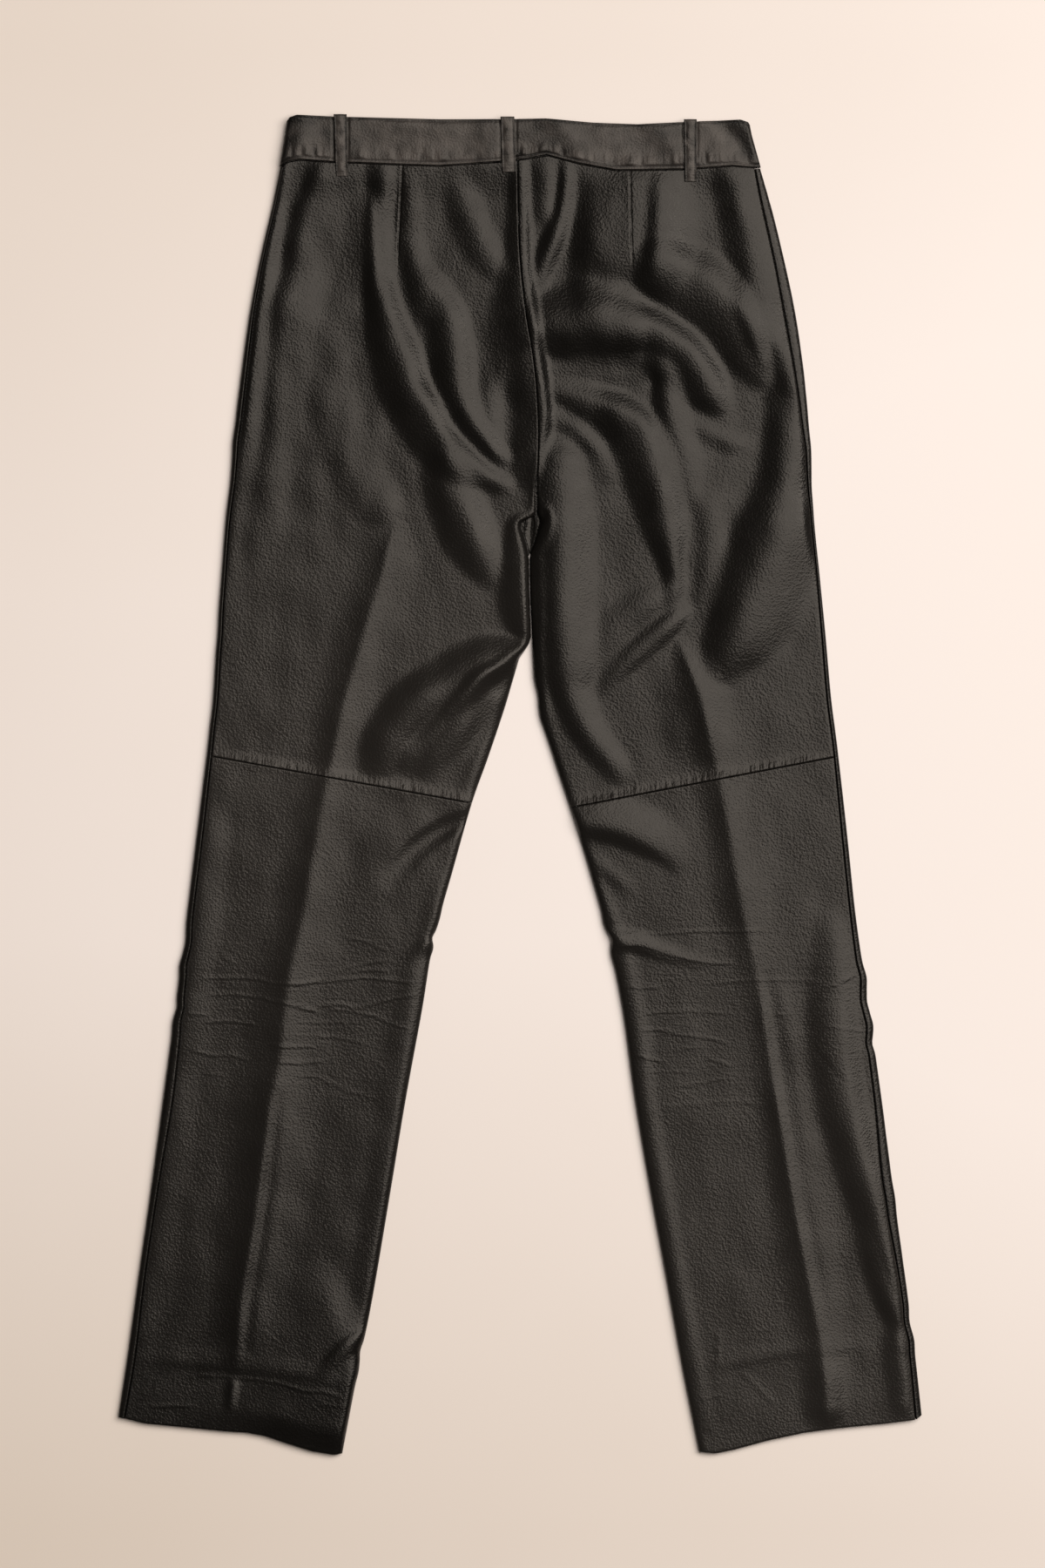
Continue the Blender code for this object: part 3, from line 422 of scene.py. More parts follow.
FOLDS = {
    # seat of the left leg
    "hip rib left": [
        (-186, 496, 1.4, 10, 9), (-190, 470, 1.7, 11, 9), (-197, 420, 1.7, 12, 9), (-204, 370, 1.7, 13, 8),
        (-210, 310, 1.9, 14, 8), (-217, 250, 0.6, 16, 8), (-225, 190, 0.4, 16, 8), (-229, 150, 0, 16, 8)],
    "hip plateau left": [
        (-148, 496, 2, 34, 13.6), (-153, 480, 2.4, 34, 13.6), (-161, 458, 2.7, 34, 14.4),
        (-167, 438, 2.9, 34, 15.3), (-172, 414, 2.9, 32, 15.3), (-175, 392, 2.5, 30, 15.3),
        (-181, 370, 2.2, 28, 18), (-183, 345, 1.5, 26, 17), (-186, 310, 1.2, 24, 17),
        (-191, 270, 1.1, 22, 16), (-197, 230, 0.9, 20, 15), (-204, 190, 0.5, 20, 14),
        (-208, 160, 0, 18, 12)],
    "hip hollow left": [
        (-119, 466, 0, 8, 26), (-117, 444, 1.8, 8, 44), (-116, 418, 2, 8, 46), (-115, 394, 1.2, 8, 36),
        (-115, 376, 0, 8, 22)],
    "centre lens left": [
        (-10, 336, 0, 10, 12), (-17, 322, 1, 11, 15), (-22, 304, 1.6, 12, 16), (-23, 286, 1.4, 11, 15),
        (-19, 270, 0.6, 9, 12), (-15, 260, 0, 8, 9)],
    "waist hollow left": [
        (-200, 408, 0, 50, 40), (-176, 408, -2, 70, 45), (-145, 408, -2.6, 74, 50),
        (-112, 412, -2.2, 70, 45), (-80, 422, -1.4, 60, 40), (-50, 436, -0.8, 40, 34),
        (-20, 444, 0, 30, 26)],
    "seat sweep left": [
        (-107, 496, 1.5, 12, 16.3), (-106, 470, 2.2, 12, 14.6), (-109.5, 442, 2.2, 12, 13.6),
        (-108.5, 420, 2.4, 13, 14.6), (-110, 396, 3.3, 14, 13.6), (-106, 374, 4.2, 15, 18.1),
        (-98, 353, 4.9, 16, 26.4), (-90, 332, 5.3, 17, 29.9), (-84, 312, 5.5, 17, 30.8),
        (-72, 292, 5.5, 16, 30.8), (-62, 274, 5.1, 16, 29), (-47, 259, 5, 14, 28), (-33, 246, 3.6, 12, 20),
        (-20, 238, 2.2, 10, 13), (-9, 234, 1, 8, 10), (-3, 233, 0, 7, 8)],
    "seat fall left": [
        (-64, 264, 0, 12, 20), (-55, 246, 3, 18, 28), (-47, 224, 4.6, 20, 30), (-38, 202, 4.8, 20, 30),
        (-30, 182, 3.8, 18, 26), (-24, 164, 1.6, 14, 16), (-21, 152, 0, 10, 8)],
    "seat ridge left": [
        (-88, 484, 0.6, 12, 8), (-87, 456, 1.6, 14, 11), (-86, 430, 1.4, 14, 12), (-82, 408, 1.6, 14, 14),
        (-73, 392, 2.6, 14, 23.2), (-62, 378, 3, 15, 26.1), (-54, 362, 4.2, 16, 23),
        (-50.5, 342, 4.6, 17, 25.1), (-49, 322, 4.6, 17, 25.1), (-46, 304, 4.4, 16, 20.9),
        (-41, 290, 4.4, 14, 18), (-33, 276, 3.8, 12, 15), (-22, 263, 2.8, 10, 12), (-13, 254, 1.4, 9, 10),
        (-6, 248, 0, 8, 8)],
    "seat bump left": [
        (-50, 474, 0, 14, 14), (-44, 456, 1.2, 16, 18), (-35, 434, 1.9, 16, 20), (-25, 415, 1.9, 15, 20),
        (-16, 401, 1.1, 12, 15), (-10, 392, 0, 10, 10)],
    "centre rise left": [
        (2.5, 496, 2, 4, 12), (3, 470, 2.6, 4, 14), (3.5, 440, 3.2, 4, 16), (4, 410, 3.8, 4.8, 20),
        (6.5, 380, 5, 7, 33), (10, 350, 5.4, 8, 39.6), (14.5, 320, 5, 8, 35.2), (17.5, 295, 4.4, 8, 27),
        (17, 275, 4, 8, 26), (13.5, 258, 3.2, 8, 24), (9, 240, 1.6, 8, 18), (7, 228, 0, 7, 10)],
    # seat of the right leg
    "welt right": [
        (7, 470, 0.3, 3.5, 4), (7, 440, 0.6, 3.5, 5), (9, 405, 0.9, 4, 6), (12, 375, 1, 4.5, 7),
        (16, 345, 1.1, 4.5, 8), (20, 312, 1.1, 5, 8), (22, 284, 0.9, 5, 8), (23, 255, 0.3, 5, 7)],
    "bulge right": [
        (36, 496, 1.4, 9, 8), (36, 472, 2, 9, 8), (33, 447, 2.6, 10, 9), (27, 426, 3, 11, 11),
        (20, 409, 2.8, 11, 11), (15, 394, 1.4, 9, 9), (12, 384, 0, 8, 6)],
    "bulge step right": [
        (22, 496, 1.4, 9, 15), (21.5, 470, 2, 9, 16), (20.5, 450, 1.6, 8, 15), (19.5, 434, 0, 7, 9)],
    "seat rise right": [
        (62, 474, 0, 33.6, 12), (60, 450, 1.4, 47.6, 19), (58, 425, 2.6, 50.4, 22), (58, 398, 3, 47.6, 23),
        (56, 380, 2, 39.2, 20), (48, 367, 0.5, 25.2, 14), (42, 360, 0, 16.8, 10)],
    "seat tilt right": [
        (98, 496, 1, 30, 50), (98, 470, 3.4, 38, 60), (97, 440, 4.8, 44, 62), (95, 412, 4.6, 44, 60),
        (93, 394, 2.8, 36, 50), (90, 378, 0, 20, 34)],
    "dart rise right": [
        (115, 496, 0.6, 28, 10), (111, 468, 1.4, 32, 12), (110, 440, 2.6, 36, 13), (108, 412, 2.4, 34, 14),
        (103, 394, 1.9, 26, 14), (93, 382, 1, 16, 12), (88, 376, 0, 12, 10)],
    "hip rise right": [
        (161, 496, 1.2, 18.9, 15.8), (168, 470, 2.9, 24.3, 22.9), (176, 440, 3.7, 29.7, 24.6),
        (183, 412, 3.9, 29.7, 26.4), (185, 386, 4.6, 29.7, 24), (192, 358, 4.2, 24.3, 22.4),
        (207, 334, 3.6, 14, 24), (212, 314, 1.6, 10, 16), (214, 302, 0, 8, 12)],
    "drag crest right": [
        (8, 352, 1, 22, 16), (22, 356, 5, 34, 27), (50, 358, 8, 42, 34), (84, 358, 8.4, 36, 35),
        (102, 357, 6.8, 20.8, 35), (119, 348, 6.3, 18.2, 35), (132, 338, 5.9, 18.2, 34),
        (142, 323, 5.4, 18.2, 31), (150, 307, 4.3, 16.9, 25), (155, 296, 2.2, 14.3, 16),
        (158, 287, 0, 9, 10)],
    "drag crest upper": [
        (92, 420, 0, 14, 10), (104, 412, 2.6, 22, 30), (124, 402, 5, 26, 44), (146, 391, 6, 26, 46),
        (164, 374, 6, 22, 44), (176, 354, 5.2, 18, 38), (184, 334, 4, 14, 28), (190, 318, 1.9, 11, 18),
        (194, 308, 0, 9, 12)],
    "ring ridge tail": [
        (124, 290, 0, 9, 8), (138, 280, 0.7, 10, 10), (154, 271, 0.9, 10, 10), (168, 266, 0.7, 10, 10),
        (182, 264, 0, 9, 9)],
    "ring ridge right": [
        (20, 322, 0.4, 10, 11.2), (45, 325, 1.1, 12, 16.8), (78, 325, 1.3, 13, 18.2),
        (98, 327, 1.4, 12, 16.8), (110, 321, 2.7, 15, 10), (116, 304, 3.2, 16.2, 16),
        (119, 286, 3.2, 17.5, 17.6), (124, 266, 2.7, 17.5, 17.6), (129, 246, 1.8, 17.5, 17.6),
        (133, 228, 0.8, 12, 16), (136, 214, 0, 10, 10)],
    "wedge fall right": [
        (140, 232, 0, 12, 12), (146, 214, 0.9, 16, 14), (149, 190, 1.1, 16, 14), (147, 164, 1, 14, 12),
        (143, 144, 0.8, 12, 10), (138, 126, 0, 10, 8)],
    "slope ridge right": [
        (18, 312, 0.4, 8, 8), (38, 305, 1.9, 15.9, 15), (58, 298, 3, 17.4, 22), (78, 291, 4.6, 17.4, 28),
        (93, 280, 4.9, 17.4, 32), (103, 257, 4.9, 20.9, 32), (110, 229, 5.2, 19.1, 28),
        (115, 200, 4.4, 18.1, 22), (120, 175, 3.2, 9.6, 15), (122, 154, 1.8, 8.8, 12),
        (119, 138, 0.7, 8, 9), (112, 128, 0, 6.4, 8)],
    "small seat ridge": [
        (20, 292, 0, 9, 10), (34, 285, 1, 10, 12), (50, 272, 1.4, 10, 12), (63, 257, 1.2, 9, 12),
        (71, 243, 0.6, 8, 10), (75, 233, 0, 8, 8)],
    "small seat fold": [
        (20, 257, 0, 10, 10), (35, 255, 0.7, 10, 12), (52, 250, 0.7, 10, 13), (64, 240, 0.3, 9, 11),
        (70, 231, 0, 8, 10)],
    "outer rise right": [
        (210, 328, 0, 10, 14), (214, 308, 3.6, 13, 26), (212, 284, 3.6, 16, 24.5),
        (211, 256, 4.4, 20, 27.4), (207, 230, 4.8, 24, 28.8), (203, 202, 7.4, 39, 38.6),
        (193, 174, 7.2, 46.8, 38.6), (181, 146, 6.6, 49.4, 36.8), (170, 120, 6, 41.4, 29.9),
        (160, 98, 3.9, 28, 24), (154, 80, 0, 20, 12)],
    "inner rise right": [
        (29, 274, 0, 14, 10), (30, 250, 3.8, 24, 24.3), (31, 222, 5.4, 28.8, 28.4),
        (31, 185, 5.9, 31.2, 27), (32, 150, 5.9, 31.2, 25.7), (33, 118, 5.4, 31.2, 25.7),
        (35, 92, 4.9, 28.8, 24.3), (39, 70, 3.4, 24, 17), (50, 46, 2.6, 18, 16), (64, 26, 2, 16, 15),
        (77, 10, 1.1, 14, 12), (84, -2, 0, 12, 10)],
    "inner roll right": [
        (13.5, 214, 0, 3, 3), (16, 216, 0.8, 3, 3), (19.5, 216, 1.3, 3, 4), (22.5, 212, 1.4, 3, 5),
        (24, 206, 1.4, 4, 6), (22.5, 197, 1.3, 4, 6), (18.5, 189, 1.2, 4, 5), (15, 183, 1.2, 4, 4),
        (14, 178, 1.2, 4, 4), (15, 168, 1.3, 4, 5), (15.5, 150, 1.3, 4, 6), (16, 128, 1.3, 4, 6),
        (15.5, 110, 1.3, 4, 5), (17.5, 82, 1.2, 5, 6), (21, 62, 0.8, 5, 6), (26, 44, 0, 5, 6)],
    "crotch hollow": [
        (18, 215, 0, 2, 2), (19.3, 212.5, -1.6, 2.4, 2.4), (18.2, 208, -1.8, 3, 3), (16, 203, -1, 3, 3),
        (15, 198, 0, 2, 2)],
    "thigh edge right": [
        (50, 76, 0, 15.4, 11), (62, 102, 1.3, 19.8, 14.3), (79, 123, 2, 22, 16.5),
        (96, 138, 2.1, 19.8, 16.5), (112, 149, 1.3, 15.4, 13.2), (122, 157, 0, 11, 11)],
    "thigh ridge right": [
        (60, 68, 0, 11.9, 8), (71, 83, 1.3, 13.3, 10), (86, 99, 2.5, 13.3, 13), (101, 113, 2.9, 13.3, 14),
        (114, 123, 2.9, 13.3, 13), (126, 133, 1.8, 10.6, 10), (134, 141, 0, 10.6, 8)],
    "thigh shade right": [
        (128, 104, 0, 20, 20), (135, 84, 1.8, 26, 34), (139, 62, 2.1, 26, 38), (144, 38, 1.6, 22, 34),
        (149, 16, 0, 18, 24)],
    # thigh of the left leg
    "thigh arc left": [
        (-147, 340, 0, 18, 14), (-148, 318, 0.7, 24, 18), (-146, 292, 1, 26, 20), (-140, 268, 1.1, 26, 22),
        (-130, 248, 1.1, 26, 24), (-118, 230, 1.1, 24, 26), (-106, 214, 1.1, 20, 22),
        (-99, 201, 0, 14, 14)],
    "thigh edge left": [
        (-113, 2, 0, 13.5, 22.8), (-110, 16, 2.2, 19.3, 25.5), (-103, 33, 4.8, 24.1, 27.5),
        (-91, 49, 5.8, 27, 27.5), (-74, 66, 6.8, 28.1, 29.1), (-51, 76, 6.8, 32.3, 23.8),
        (-30, 89, 7.3, 31, 16), (-12, 97, 6.3, 27, 10.4), (0, 104, 3.9, 18, 9.1), (7, 108, 0.6, 9.7, 9.1)],
    "thigh ridge left": [
        (-94, 10, 0, 8.3, 17), (-85, 22, 2, 10.3, 23.2), (-71, 35, 3.5, 11.4, 27.5),
        (-56, 51, 4.4, 12.4, 29.6), (-42, 67, 4.6, 12.4, 29.6), (-29, 82, 4.4, 11.4, 27.5),
        (-18, 89, 3.2, 9.3, 14.5), (-9, 96, 1.5, 8.3, 11.9), (-3, 100, 0, 8.3, 10.6)],
    "thigh ridge lower": [
        (-78, 4, 0, 11.2, 14.4), (-69, 16, 1, 12.6, 19.8), (-57, 30, 1.4, 12.6, 21.6),
        (-46, 44, 1.6, 12.6, 21.6), (-37, 57, 1.3, 11.2, 19.8), (-29, 69, 0.6, 11.2, 16.2),
        (-24, 78, 0, 9.8, 14.4)],
    "inner roll left": [
        (12, 210, 0, 3, 5), (6, 209, 1.2, 3, 6), (1.5, 207, 1.8, 3, 8), (-0.5, 202, 2.4, 3, 12),
        (1.5, 190, 3.4, 4, 18), (4.5, 178, 4.4, 5, 23), (5.8, 160, 5.2, 5, 25), (6.6, 144, 5.4, 5, 26),
        (7.4, 132, 5, 4, 24), (7.8, 122, 4.4, 4, 20), (7.4, 114, 3.4, 4, 14), (3, 106, 2.2, 4, 8),
        (-6, 102, 1, 4, 6), (-14, 98, 0, 4, 5)],
    "inner edge left": [
        (-8, 84, 0, 4, 8), (-16, 64, 0.6, 4, 9), (-26, 36, 0.7, 4, 9), (-38, 6, 0.6, 4, 9),
        (-44, -12, 0, 4, 8)],
    # knees
    "knee pinch left": [
        (-106, -82, 0, 11.7, 11.7), (-97, -70, -0.8, 11.7, 11.7), (-85, -55, -1.7, 13, 11.7),
        (-73, -44, -2.4, 13, 11.7), (-61, -36, -2.7, 11.7, 10.4), (-50, -30, -2.4, 10.4, 9.1),
        (-40, -26, -1.1, 9.1, 7.8)],
    "knee shade left": [
        (-128, -84, 0, 16, 12), (-114, -62, 0.8, 26, 14), (-98, -46, 1, 30, 14), (-82, -34, 0.9, 26, 12),
        (-66, -26, 0, 16, 10)],
    "knee pinch right": [
        (36, -30, 1.1, 13.5, 8), (50, -31, 3, 21, 12), (64, -32, 3.4, 27, 14), (80, -36, 3.4, 30, 14),
        (95, -43, 2.9, 30, 13), (109, -51, 1.8, 27, 11), (121, -60, 0.7, 21, 9), (130, -67, 0, 15, 8)],
    "knee step right": [
        (50, -54, 0, 7, 6), (62, -62, 0.6, 9, 9), (76, -73, 0.6, 9, 9), (92, -88, 0, 8, 7)],
    "crease valley left": [
        (-188, -236, 0, 9, 3.4), (-191.5, -252, -0.8, 9, 3.4), (-197, -300, -1.2, 10, 3.6),
        (-204, -352, -1.2, 10, 3.8), (-212, -400, -1.1, 10, 4), (-215, -430, -0.8, 10, 4),
        (-216.5, -446, 0, 10, 4)],
    "crease valley right": [
        (189, -142, 0, 11, 3.4), (192, -160, -0.7, 12, 3.6), (199, -208, -1.2, 14, 3.8),
        (207, -262, -1.1, 14, 4), (215, -310, -0.9, 14, 4), (223, -352, -0.9, 12, 4),
        (232, -400, -0.7, 12, 4), (236, -430, 0, 12, 4)],
    # calves
    "calf rib left": [
        (-236, 20, 0, 19.2, 7), (-241, -30, 0.7, 19.2, 8), (-249, -100, 0.8, 19.2, 8),
        (-257, -170, 0.8, 19.2, 8), (-268, -250, 0.8, 19.2, 9), (-278, -320, 0.7, 19.2, 9),
        (-290, -400, 0.4, 19.2, 8), (-300, -460, 0, 16, 8)],
    "calf inner left": [
        (-58, -66, 0, 5, 11.2), (-65, -96, 0.7, 5, 12.6), (-73, -122, 0.8, 5, 11.2),
        (-77, -134, 0.2, 5, 11.2), (-82, -150, 0.8, 5, 14), (-86, -185, 0.9, 6, 16.8),
        (-93, -230, 0.9, 6, 19.6), (-101, -290, 0.8, 6, 19.6), (-110, -345, 0.8, 6, 18.2),
        (-119, -395, 0.7, 6, 16.8), (-127, -430, 0.4, 6, 12.6), (-132, -450, 0, 6, 11.2)],
    "notch left": [
        (-88, -140, 0, 7, 6), (-80, -131, 0.9, 8, 7), (-70, -122, 1.2, 6, 6), (-62, -116, 0.7, 5, 5)],
    "calf pinch right": [
        (62, -118, 1.2, 9, 8), (76, -121, 2, 10.5, 10), (92, -124, 1.8, 12, 9), (112, -132, 1, 12, 7),
        (136, -138, 0.5, 10.5, 5), (158, -141, 0, 9, 4)],
    "calf inner right": [
        (50, -60, 0, 8, 5), (66, -92, 0.6, 9, 5), (78, -122, 0.6, 9, 5), (90, -176, 0.7, 10, 6),
        (99, -246, 0.7, 10, 6), (112, -320, 0.7, 10, 6), (124, -390, 0.7, 10, 6), (136, -452, 0.6, 10, 6),
        (146, -500, 0.3, 9, 6)],
    "calf outer hollow": [
        (240, -96, 0, 12.5, 14), (245, -128, 1.3, 15, 20), (247, -160, 2.2, 17.5, 26),
        (250, -200, 3.2, 17.5, 30), (255, -240, 3.6, 16.2, 30), (264, -280, 3.9, 15, 27),
        (276, -322, 4.2, 13.8, 24), (286, -362, 4.2, 11.2, 21), (293, -396, 3.6, 10, 18),
        (298, -422, 2, 8.8, 14), (301, -446, 0, 8.8, 12)],
    "calf outer fold": [
        (262, -340, 0, 9, 9), (270, -362, 0.8, 10, 10), (280, -390, 1.3, 10, 11), (290, -411, 1.1, 9, 10),
        (298, -424, 0, 8, 8)],
    "hem rise right": [
        (288, -420, 0, 8, 12), (296, -440, 1.8, 8, 16), (300, -466, 1.8, 8, 16), (301, -498, 1.4, 8, 14)],
    "hem tilt left": [
        (-170, -372, 0, 24, 60), (-150, -410, 1.7, 26, 100), (-138, -445, 3, 24, 125),
        (-134, -480, 3.8, 22, 140), (-134, -520, 3.9, 22, 150)],
    "hem shade right": [
        (232, -440, 0, 12, 14), (240, -462, 1.2, 14, 22), (243, -486, 1.4, 14, 24),
        (244, -510, 1.2, 12, 22)],
    "hem dent left": [
        (-158, -462, 0, 8, 7), (-148, -452, 1.2, 9, 8), (-138, -440, 1.9, 9, 9), (-126, -430, 1.8, 7, 8),
        (-114, -424, 1.2, 6, 7)],
    "hem print left": [
        (-300, -448, 0.1, 11.7, 5), (-262, -450, 0.4, 14.3, 6), (-222, -454, 0.4, 14.3, 6),
        (-182, -458, 0.4, 14.3, 6), (-150, -464, 0.3, 11.7, 5), (-128, -470, 0, 10.4, 5)],
    "hem pleat left": [
        (-223, -462, 0, 4, 4), (-223.5, -468, 1.4, 4.5, 5), (-225, -480, 1.4, 4.5, 5),
        (-227, -490, 0, 4, 4)],
    "hem print right": [
        (142, -456, 0, 10.4, 5), (172, -450, 0.4, 11.7, 6), (206, -443, 0.4, 11.7, 6),
        (244, -440, 0.3, 11.7, 6), (276, -438, 0, 10.4, 5)],
}
CRISP_FOLDS = {
    "pressed crease left": [
        (-95, 208, 0, 18.2, 14), (-101, 192, 1.4, 26, 20), (-107, 168, 2.4, 31.2, 26),
        (-115, 140, 2.8, 31.2, 28), (-127, 100, 2.8, 31.2, 26), (-139, 58, 2.6, 31.2, 24),
        (-148, 14, 2.4, 31.2, 24), (-157, -30, 2.4, 36, 26), (-169, -100, 2.6, 36, 26),
        (-180, -150, 3.4, 39, 31.4), (-187, -210, 3.4, 39, 33.6), (-194, -250, 4.7, 45, 37),
        (-200.5, -300, 3.9, 45, 33), (-208, -352, 3.6, 42, 33), (-216, -400, 3.1, 39, 28.6),
        (-219, -432, 2.3, 36, 24.2), (-223, -462, 0, 24, 16)],
    "pressed crease right": [
        (123, 116, 0, 14, 8), (128, 101, 1.2, 19.6, 12), (135, 84, 1.9, 28, 16), (141, 68, 2.3, 33.6, 20),
        (147, 42, 2.3, 36.4, 20), (153, 14, 2.1, 39.2, 22), (162, -30, 2.4, 39.2, 24),
        (171, -84, 2.2, 39.2, 24), (182, -136, 1.4, 36.4, 22), (189, -172, 1.5, 33.6, 18),
        (197, -222, 1.5, 33.6, 18), (204, -262, 2.8, 36.4, 20), (212, -312, 2.8, 36.4, 22),
        (220, -356, 2.8, 33.6, 24), (229, -404, 2.5, 30.8, 24), (236, -448, 2, 28, 24),
        (240, -500, 1.8, 28, 26)],
}
# Fine wrinkles: how high each is and the line it follows. The hide rises slowly to the line and
# drops sharply on its right hand.
WRINKLES = (
    # left calf, behind the bend of the knee and below it
    (0.46, ((-250, -153), (-225, -152), (-206, -153), (-190, -157), (-170, -157),
            (-152, -153), (-138, -146), (-120, -141), (-100, -138))),
    (0.49, ((-178, -158), (-160, -156), (-140, -154), (-120, -152), (-101, -154), (-84, -156))),
    (0.41, ((-132, -148), (-118, -146), (-100, -147))),
    (0.46, ((-246, -166), (-225, -165), (-205, -167), (-190, -171), (-175, -174), (-164, -173))),
    (0.57, ((-164, -179), (-156, -174), (-140, -173), (-128, -176), (-112, -172),
            (-96, -168), (-80, -165))),
    (0.62, ((-176, -175), (-164, -177), (-155, -180))),
    (0.38, ((-152, -176), (-132, -178), (-114, -182), (-98, -189), (-84, -193))),
    (0.41, ((-260, -180), (-250, -181), (-238, -181))),
    (0.46, ((-248, -187), (-226, -186), (-204, -189))),
    (0.41, ((-258, -208), (-240, -213), (-226, -212), (-210, -217))),
    (0.49, ((-197, -204), (-184, -206), (-158, -206))),
    (0.49, ((-190, -218), (-170, -219), (-152, -217))),
    (0.27, ((-162, -198), (-142, -199), (-118, -204))),
    (0.35, ((-176, -229), (-160, -229), (-136, -240), (-108, -247))),
    (0.27, ((-224, -244), (-204, -249))),
    (0.46, ((-233, -136), (-222, -141))),
    (0.30, ((-140, -120), (-120, -124), (-103, -132))),
    (0.24, ((-205, -232), (-186, -236))),
    (0.27, ((-250, -226), (-228, -229))),
    (0.22, ((-168, -186), (-148, -188), (-132, -187))),
    # right calf
    (0.38, ((80, -118), (110, -118), (140, -116), (166, -116), (192, -115))),
    (0.65, ((78, -127), (96, -127), (114, -133), (132, -138), (150, -141), (168, -141))),
    (0.49, ((92, -123), (108, -128), (122, -133))),
    (0.35, ((78, -159), (92, -160), (112, -160))),
    (0.38, ((148, -157), (166, -155), (186, -154), (214, -154), (238, -156))),
    (0.54, ((236, -161), (248, -157), (257, -152), (266, -148))),
    (0.35, ((93, -181), (110, -179), (130, -178), (150, -179), (164, -180))),
    (0.46, ((93, -193), (110, -193), (126, -197), (146, -199), (164, -204))),
    (0.51, ((86, -211), (98, -215), (114, -218))),
    (0.27, ((118, -209), (132, -207), (146, -206))),
    (0.30, ((142, -213), (152, -217), (166, -222))),
    (0.35, ((118, -237), (140, -235), (164, -230))),
    (0.35, ((94, -256), (120, -253), (150, -250), (170, -248), (194, -252))),
    (-0.30, ((226, -205), (236, -217), (252, -236))),
    (0.35, ((75, -109), (84, -102), (89, -92))),
    (0.27, ((196, -182), (216, -180))),
    (0.32, ((238, -190), (254, -192), (268, -194))),
    (0.22, ((96, -226), (116, -225), (134, -226))),
    # hems
    (0.46, ((-252, -462), (-232, -463), (-200, -466), (-184, -469), (-168, -474),
            (-152, -475), (-138, -480))),
    (0.54, ((-296, -482), (-286, -476), (-277, -468))),
    (0.54, ((-290, -487), (-272, -486), (-252, -486))),
    (0.35, ((-282, -462), (-268, -452), (-258, -448))),
    (0.27, ((-206, -426), (-196, -432), (-190, -438))),
    (0.27, ((-204, -434), (-194, -440))),
    (0.30, ((-162, -482), (-148, -486), (-136, -486))),
    (0.30, ((-168, -504), (-152, -508), (-138, -508))),
    (0.62, ((153, -424), (153, -438), (152, -454))),
    (0.49, ((171, -455), (173, -461), (181, -468), (190, -477), (198, -486))),
    (0.35, ((138, -480), (150, -480), (162, -476))),
    (0.38, ((168, -436), (182, -431), (198, -424))),
    # outer edge of the seat
    (0.41, ((-214, 404), (-206, 400), (-199, 399))),
    (0.38, ((-216, 384), (-209, 381), (-203, 382))),
    (0.41, ((-218, 362), (-211, 358), (-204, 358))),
    (0.35, ((-220, 341), (-214, 338), (-207, 339))),
)

FOLD_STEPS = 6           # straight pieces from one row of a fold to the next
EASING_STEP = 1.6        # the grid that the soft folds are eased on
EASING_MARGIN = 9.0
EASING_ROUNDS = 4
FADE_AT_WAIST = 0.5      # in stations, as is the next
FADE_AT_HEM = 0.4
KEPT_AT_WAIST = 0.5      # how much of a fold the waist seam leaves
FADE_AT_SIDE = 9.0       # the folds run out this near to the side seam
CRISP_NOSE = 0.07        # how blunt the line of a crisp fold is, as a share of its spread
ROLL_SHARE = 0.96        # how near to upright a rolled edge gets, 1 being upright
WRINKLE_FADE = 7.0       # a wrinkle runs out over this at both ends
WRINKLE_STEP = 5.0       # from one of its rows to the next
WRINKLE_SPREAD = (5.0, 1.6)      # to the left and the right of its line
WRINKLE_RISE = 0.6       # how high it stands beside its line, as a share of its height
WRINKLE_LINE = -0.75     # how deep the line along it is pressed in, as another share
WRINKLE_LINE_SPREAD = (1.3, 1.3)


def walk(fold):
    """The fold's rows joined by a smooth line of short straight pieces."""
    columns = list(zip(*fold))
    steps = (len(fold) - 1) * FOLD_STEPS
    return np.array([
        [spline(column, index / FOLD_STEPS) for column in columns] for index in range(steps + 1)])


def soft_fold(share):
    """A soft fold's height at a share of its spread."""
    return (1 - share ** 2) ** 2


def crisp_fold(share):
    """A crisp fold's height at a share of its spread."""
    blunt = np.sqrt(share ** 2 + CRISP_NOSE ** 2) - CRISP_NOSE
    return np.clip(1 - blunt / (math.sqrt(1 + CRISP_NOSE ** 2) - CRISP_NOSE), 0, 1) ** 2


def wrinkle_rows(height, points, spread):
    """A wrinkle's line as a fold that runs out at both ends."""
    gone = lengths_along(points)
    marks = np.linspace(0, gone[-1], max(int(gone[-1] / WRINKLE_STEP), 3))
    xs, ys = (np.interp(marks, gone, column) for column in zip(*points))
    held = smooth(np.minimum(marks, gone[-1] - marks) / WRINKLE_FADE)
    return [(x, y, height * share, *spread) for x, y, share in zip(xs, ys, held)]


